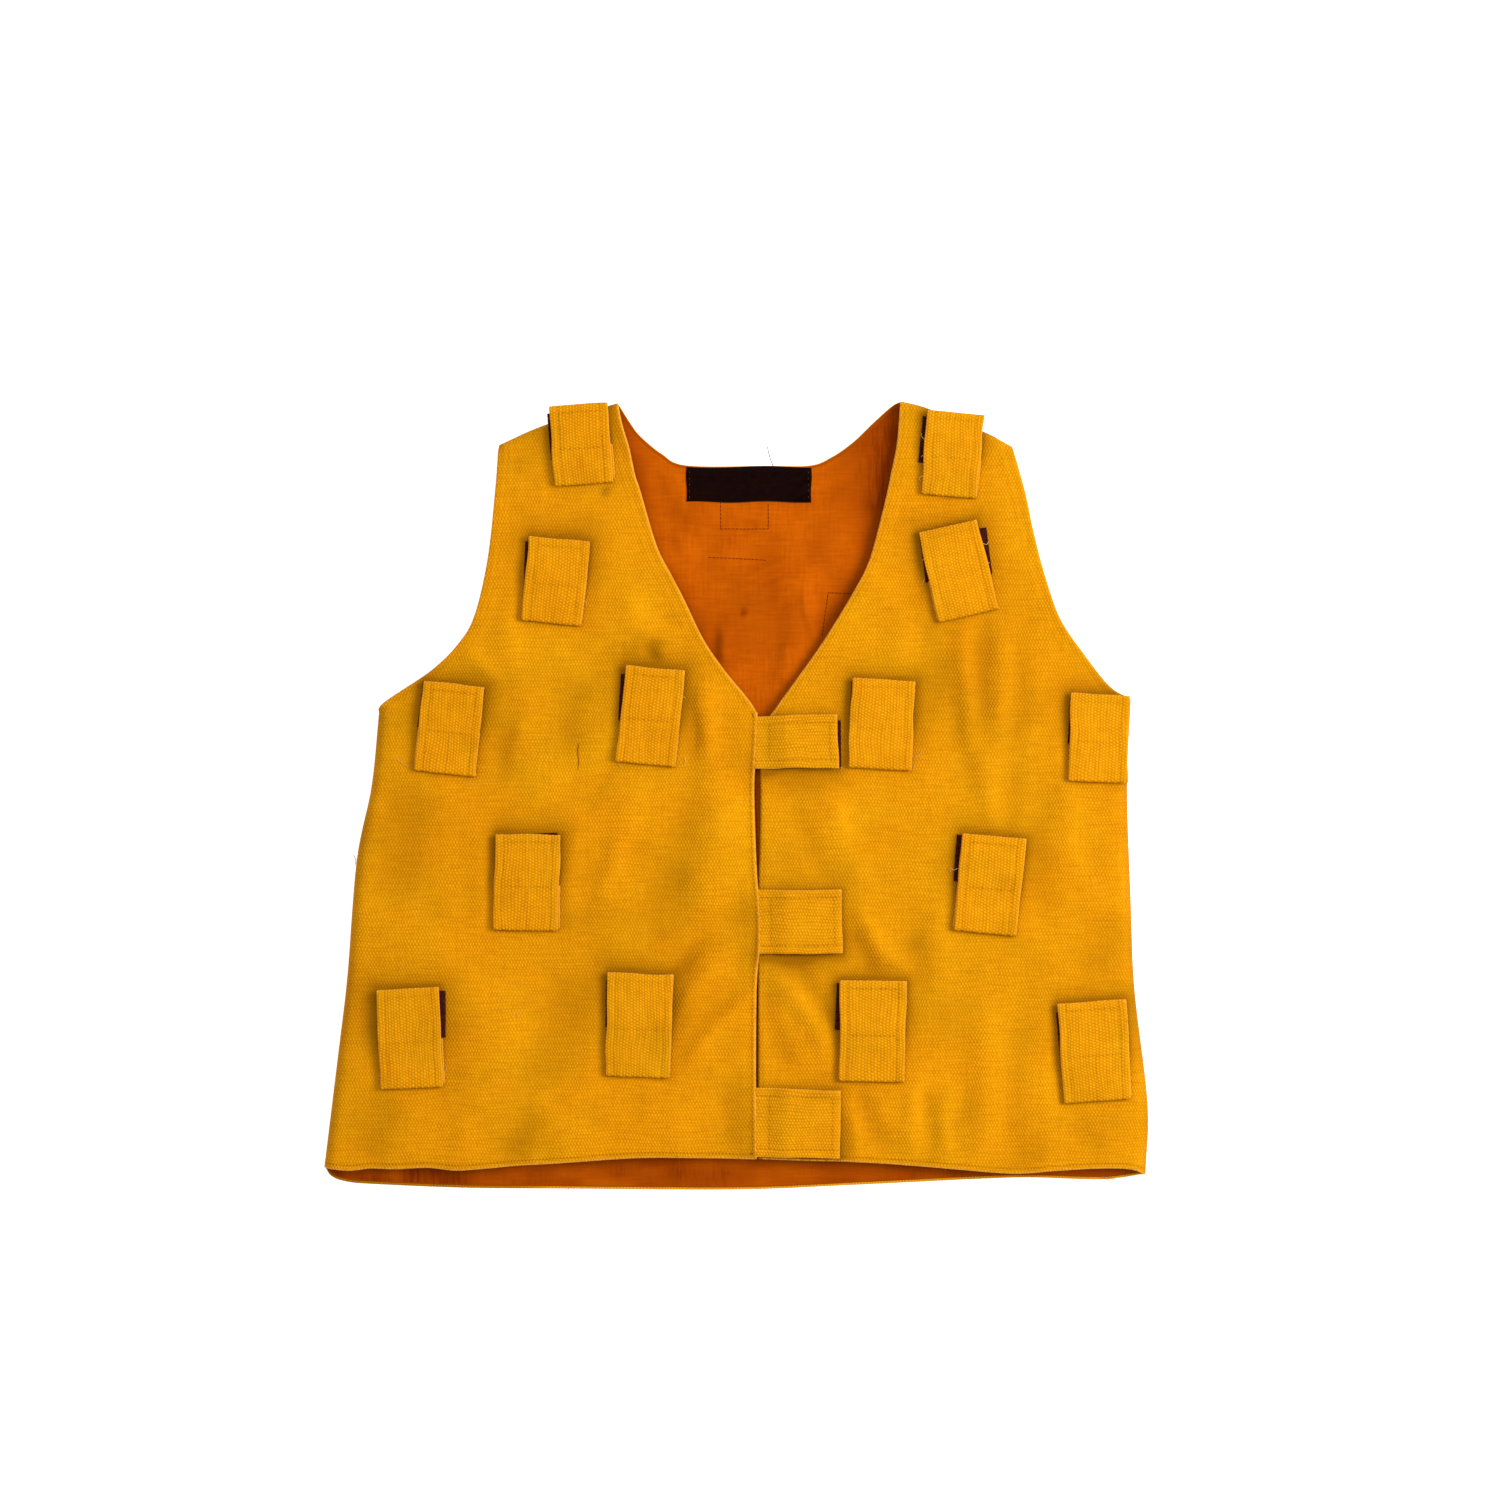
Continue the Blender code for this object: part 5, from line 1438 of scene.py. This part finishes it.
for k, (name, (x, y, turn, w, L)) in enumerate(ITEM_TABS.items()):
    body = tab_body(name)
    seed = k
    # outer leg with the fold at its foot
    r_fold = 0.86
    path = outer_path(L, 16.35, r_fold, 18.15, 18.35 + 0.35 * ((k * 7) % 5) / 4)
    V, F, A = strap_mesh(w, path, 1.62, wob=0.9, seed=seed, stitch_cross=(0.47,),
                         skew=0.0, flare=0.02 * math.sin(k * 2.1), stitched=STITCHED[name])
    V = place(V, x, y, turn)
    s = make_object(f"{name}_strap", V, F, [TAB_CANVAS], attrs=A)
    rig.replaces(s, name)
    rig.blend(s, body, name, tab_point(x, y, turn, 0.0, 17), tab_point(x, y, turn, 7.5, 17))
    STRAPS.append((s, w, float(np.linalg.norm(np.diff(np.array(path), axis=0), axis=1).sum()), body))
    # the sewn leg under it
    dx, dt = LEGS.get(name, (0.0, 0.3))
    leg = [(1.0, 15.42), (2.2, 15.40)] + [(t, 15.38) for t in np.linspace(4, L * 0.47, 9)]
    V, F, A = strap_mesh(w - 0.4, leg, 1.45, wob=0.0, seed=seed + 20, stitch_cross=(0.18,))
    V[:, 0] += dx
    V = place(V, x, y, turn + dt)
    g = make_object(f"{name}_sewn_leg", V, F, [TAB_CANVAS], attrs=A, body=body)
    # hook patch under the strap's upper half
    z_hook = 17.25
    V, F, A = slab(w - 5.0, 23.5, -z_hook, -(z_hook - 0.95), seed, pile=0.12)
    V[:, 2] *= -1.0
    F = outward(V, F)
    V[:, 1] += L - 1.6 - 12.0
    V = place(V, x, y, turn)
    h = make_object(f"{name}_hook_patch", V, F, [HOOK_MAT], attrs=A, body=name)
    # loop patch on the canvas
    sx, sy, st, ew = LOOPS[name]
    V, F, A = slab(w + ew, 25.0, 14.25, 15.75, seed + 30, pile=0.45, step=0.9)
    a = math.radians(turn)
    cy = L - 1.0 - 12.5 + sy
    cx0, cy0 = x + math.cos(a) * sx - math.sin(a) * cy, y + math.sin(a) * sx + math.cos(a) * cy
    V = place(V, cx0, cy0, turn + st)
    lp = make_object(f"{name}_loop_patch", V, F, [LOOP_MAT], attrs=A, body=body)
    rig.replaces(lp, name.replace("tab", "loop"))

for k, (name, (x, y, turn, w, L)) in enumerate(CLOSURE_TABS.items()):
    seed = 40 + k
    # path from under the left front's edge, over the right front, onto the patch
    pts = []
    for f in np.linspace(-4.0, L, 30):
        if f < 1.5:
            z = 14.95
        else:
            z = 14.95 + (18.10 - 14.95) * float(smoothstep(np.array(f), 1.5, 15.0))
        z += 0.30 * float(smoothstep(np.array(f), L * 0.8, L))
        pts.append((f, z))
    V, F, A = strap_mesh(w, pts, 1.6, wob=0.7, seed=seed, stitch_cross=(8.6 / (L + 4.5),), centre=False)
    V = place(V, x, y, turn - 90)
    s = make_object(f"{name}_strap", V, F, [TAB_CANVAS], attrs=A)
    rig.replaces(s, name)
    a = math.radians(turn)
    STRAPS.append((s, w, float(np.linalg.norm(np.diff(np.array(pts), axis=0), axis=1).sum()), "right_flap"))
    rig.blend(s, "left_flap", name, ((x - 0.5) * MM, y * MM, 0.017),
             ((x - 0.5 + 8.5 * math.cos(a)) * MM, (y + 8.5 * math.sin(a)) * MM, 0.017))
    V, F, A = slab(w - 5.0, 23.5, -17.20, -16.3, seed, pile=0.12)
    V[:, 2] *= -1.0
    F = outward(V, F)
    V[:, 1] += L - 1.6 - 12.0
    V = place(V, x, y, turn - 90)
    h = make_object(f"{name}_hook_patch", V, F, [HOOK_MAT], attrs=A, body=name)
    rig.replaces(h, f"closure_hook_{k + 1}")
    V, F, A = slab(w - 3.0 + (0.0, 1.0, 0.0)[k], 27.0, 14.1, 15.75, seed + 5, pile=0.45, step=0.9)
    c = L - 0.8 - 12.5 + (1.4, -0.4, -0.4)[k]
    V = place(V, x + math.cos(a) * c + math.sin(a) * (0.6, 0, 0)[k], y + math.sin(a) * c - (1.4, 0.2, 0.0)[k], turn - 90)
    lp = make_object(f"{name}_loop_patch", V, F, [LOOP_MAT], attrs=A, body="right_flap")
    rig.replaces(lp, f"closure_loop_{k + 1}")

for k, (name, (x, y, turn, w, L)) in enumerate(BACK_TABS.items()):
    seed = 60 + k
    path = outer_path(L, -2.55, 0.86, -0.88, -0.88)
    V, F, A = strap_mesh(w, path, 1.5, wob=0.0, seed=seed, stitch_cross=(0.47,))
    V = place(V, x, y, turn, flip=True)
    F = outward(V, F)
    s = make_object(f"{name}_strap", V, F, [TAB_CANVAS], attrs=A)
    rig.replaces(s, name)
    STRAPS.append((s, w, float(np.linalg.norm(np.diff(np.array(path), axis=0), axis=1).sum()), "back"))
    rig.blend(s, "root", name, tab_point(x, y, turn, 0.0, 2), tab_point(x, y, turn, 7.5, 2))
    leg = [(1.0, -3.45)] + [(t, -3.45) for t in np.linspace(2.5, L * 0.47, 9)]
    V, F, A = strap_mesh(w - 0.6, leg, 1.4, wob=0.0, seed=seed + 20)
    V = place(V, x, y, turn, flip=True)
    F = outward(V, F)
    make_object(f"{name}_sewn_leg", V, F, [TAB_CANVAS], attrs=A, body="root")
    V, F, A = slab(w - 5.0, 23.5, 1.75, 2.65, seed, pile=0.12)
    V[:, 1] += L - 1.6 - 12.0
    V = place(V, x, y, turn)
    make_object(f"{name}_hook_patch", V, F, [HOOK_MAT], attrs=A, body=name)
    V, F, A = slab(w, 25.0, -4.75, -3.15, seed + 9, pile=0.35, step=1.1)
    V[:, 2] *= 1.0
    V = V * np.array([1.0, 1.0, 1.0])
    V[:, 2] = -V[:, 2]
    F = outward(V, F)
    V[:, 1] += L - 1.0 - 12.5
    V = place(V, x, y, turn)
    lp = make_object(f"{name}_loop_patch", V, F, [LOOP_MAT], attrs=A, body="root")
    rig.replaces(lp, name.replace("tab", "loop"))

# ----------------------------------------------------------------------------- neck label
LX, LY, LW, LH = 7.0, 168.3, 67.5, 19.0
nx, ny = 60, 18
X, Y = np.meshgrid(np.linspace(-LW / 2, LW / 2, nx), np.linspace(-LH / 2, LH / 2, ny))
wavy = 0.45 * np.sin(X / 9.0 + 0.6) * (Y > 0) + 0.35 * np.sin(X / 6.0) * (Y < 0)
G = np.stack([X + LX + 0.25 * np.sin(Y / 3.0) * np.sign(X) * (np.abs(X) > LW / 2 - 3), Y + LY + wavy * np.abs(Y) / (LH / 2)], -1)
under = back_top(G)
side = LW / 2 - np.abs(X)
puff = 0.9 * smoothstep(side, 2.5, 12.0) * (0.6 + 0.4 * np.sin(X / 8.0 + 1.0)) * (1 - 0.3 * np.abs(Y) / LH)
ztop = under + 0.55 + puff
edge = np.exp(-(np.minimum(side, LH / 2 - np.abs(Y)) / 0.5) ** 2)
V, F, A = sheet_mesh(G, ztop, ztop - 0.35, edge, None, bulge=0.08)
label = make_object("neck_label_tape", V, outward(V, F), [LABEL_MAT], attrs=A, body="root")
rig.replaces(label, "neck_label")


def label_height(px, py):
    g = np.stack([px, py], -1)
    return back_top(g) + 0.62


segs = []
for sx in (-1, 1):
    line = np.array([(LX + sx * (LW / 2 - 1.6), LY - LH / 2 + 0.8), (LX + sx * (LW / 2 - 1.6), LY + LH / 2 - 0.8)])
    segs += stitch_line(line, label_height, pitch=3.4, gap=2.2, seed=3)
label_stitches = segments_mesh("neck_label_stitches", segs, 0.16, LABEL_THREAD, body="root")

# ----------------------------------------------------------------------------- stitching on the lining


def lining_height(px, py):
    return back_top(np.stack([px, py], -1)) + 0.02


def lines(*pts):
    return resample(np.array(pts, float), 60)


segs = []
for k, line in enumerate((
        lines((-8.3, 159.5), (-8.3, 144.2), (17.5, 144.2), (17.5, 159.5)),
        lines((-15.0, 128.8), (-2.0, 128.3), (17.5, 127.2)),
        lines((46.5, 86.0), (50.0, 109.8), (64.0, 109.2)),
)):
    segs += stitch_line(line, lining_height, pitch=2.1, gap=0.12, lift=0.10, seed=10 + k)
segments_mesh("lining_stitch_rows", segs, 0.21, LINING_THREAD, sides=4, body="root")

# ----------------------------------------------------------------------------- loose thread ends


def surface_z(px, py, pad=0.25):
    g = np.array([[px, py]])
    return float(front_height(g[:, 0], g[:, 1])[0]) + pad


def wisp(points, z0, z1, seed):
    """A loose end: a smooth run through the points, lying at z0 and lifting to z1."""
    P = curve(points, 9)
    r = np.random.RandomState(1500 + seed)
    z = np.linspace(z0, z1, 9) + 0.25 * np.sin(np.linspace(0, 3.1, 9)) + r.uniform(-0.05, 0.05, 9)
    return np.c_[P, z]


def px(x, y):
    """Row positions measured on the object's own plan, in plan units of 0.54 mm."""
    return ((x - 736.0) * 0.54, (795.6 - y) * 0.54)


WISPS = {
    "tab_right_1": [[(929, 443), (924, 440), (921, 436), (923, 431)], [(928, 457), (923, 456), (919, 459)],
                    [(927, 476), (921, 477), (919, 480), (922, 483)]],
    "tab_right_2": [[(981, 543), (986, 545), (989, 541)], [(982, 566), (988, 563), (991, 565)],
                    [(930, 561), (925, 559), (921, 562)]],
    "tab_left_2": [[(584, 600), (587, 603), (585, 607)]],
    "tab_left_4": [[(627, 698), (623, 702), (625, 706)], [(681, 700), (684, 697), (686, 700)]],
    "tab_right_5": [[(957, 868), (953, 870), (950, 867), (951, 873)]],
}
GROUND = {
    "root": [[(930, 575), (924, 580), (922, 586)], [(444, 1073), (447, 1069), (446, 1064)],
             [(517, 1018), (518, 1014), (522, 1011)], [(397, 760), (401, 761), (404, 764), (409, 767)], [(498, 925), (496, 929), (499, 932)]],
    "right_flap": [[(913, 760), (916, 757), (920, 754), (922, 750)], [(912, 766), (914, 768), (916, 767)],
                   [(838, 765), (842, 768), (840, 771)]],
    "left_flap": [[(622, 760), (619, 764), (622, 768)], [(683, 757), (686, 761), (684, 765)]],
}
n = 0
for body, paths in list(WISPS.items()) + list(GROUND.items()):
    segs = []
    for pts in paths:
        P = [px(*p) for p in pts]
        lo = surface_z(*P[-1])
        hi = 18.0 if body in ITEM_TABS else lo + 0.3
        segs.append(wisp(P, hi, lo + (0.2 if body in ITEM_TABS else 0.1), n))
        n += 1
    segments_mesh(f"loose_threads_{body}", segs, 0.13, THREAD_PALE, sides=5, body=body)
flat_marks = [wisp([px(579, 743), px(578, 752), px(579, 761), px(578, 770)], surface_z(*px(579, 743), 0.02),
                   surface_z(*px(578, 770), 0.02), 71)]
segments_mesh("loose_threads_dark", flat_marks, 0.22, DARK_THREAD, sides=5, body="left_flap")
slubs = []
for k, (x0, y0, x1, y1) in enumerate(((462, 783, 478, 784), (478, 784, 497, 783), (604, 494, 609, 490), (872, 792, 882, 791),
                                      (948, 1002, 957, 1003), (412, 905, 419, 905), (1010, 720, 1018, 719))):
    a, b = px(x0, y0), px(x1, y1)
    slubs.append(wisp([a, ((a[0] + b[0]) / 2, (a[1] + b[1]) / 2 + 0.1), b], surface_z(*a, -0.02), surface_z(*b, -0.02), 72 + k))
for k, (lo, hi, body) in enumerate(((0, 3, "root"), (3, 5, "right_flap"), (5, 7, "root"))):
    segments_mesh(f"yarn_slubs_{k + 1}", slubs[lo:hi], 0.16, SLUB, sides=5, body=body)
hair = [wisp([px(774, 467), px(771, 460), px(769, 453), px(767, 444)], 7.6, 5.0, 90)]
segments_mesh("label_loose_hair", hair, 0.27, HAIR, sides=5, body="root")
hem = [wisp([px(566, 1186), px(568, 1191), px(567, 1197)], 1.2, 0.4, 91),
       wisp([px(352, 855), px(354, 861), px(353, 866)], 1.5, 0.5, 92),
       wisp([px(1104, 1178), px(1110, 1182), px(1113, 1187)], 3.2, 1.0, 93),
       wisp([px(1108, 1177), px(1114, 1181), px(1119, 1182)], 3.0, 1.2, 94)]
segments_mesh("hem_loose_threads", hem, 0.16, THREAD, sides=5, body="root")

for obj, side in ((left_canvas, "left"), (left_lining, "left"), (right_canvas, "right"), (right_lining, "right")):
    fold_blend(obj, side)

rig.sheet(left_canvas, flat=(0.236, 0.418), held="laid", rests_on=["back_panel_lining"], area=left_area)
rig.sheet(right_canvas, flat=(0.214, 0.420), held="laid", rests_on=["back_panel_lining"], area=right_area)
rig.sheet(left_lining, flat=(0.233, 0.415), held="laid", rests_on=["back_panel_lining"], area=left_lin_area)
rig.sheet(right_lining, flat=(0.211, 0.417), held="laid", rests_on=["back_panel_lining"], area=right_lin_area)
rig.sheet(back_canvas, flat=(0.446, 0.428), held="laid", rests_on=["floor"], area=back_area)
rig.sheet(back_lining, flat=(0.444, 0.426), held="laid", rests_on=["back_panel_canvas"], area=back_lin_area)

for s, w, run, where in STRAPS:
    under = "back_panel_canvas" if where == "back" else "left_front_canvas" if "tab_left" in s.name or "closure" in s.name \
        else "right_front_canvas"
    if "closure" in s.name:
        under = "right_front_canvas"
    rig.sheet(s, flat=(w * MM, run * MM), held="laid" if "closure" in s.name else "folded", rests_on=[under])
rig.sheet(label, flat=(LW * MM, LH * MM), held="laid", rests_on=["back_panel_lining"])

VISUAL_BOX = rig.bounds()
try:
    with open("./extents.json", "w") as f:
        json.dump({"cad": [list(map(float, c)) for c in CAD_BOX],
                   "visual": [list(map(float, c)) for c in VISUAL_BOX]}, f)
except OSError:
    pass
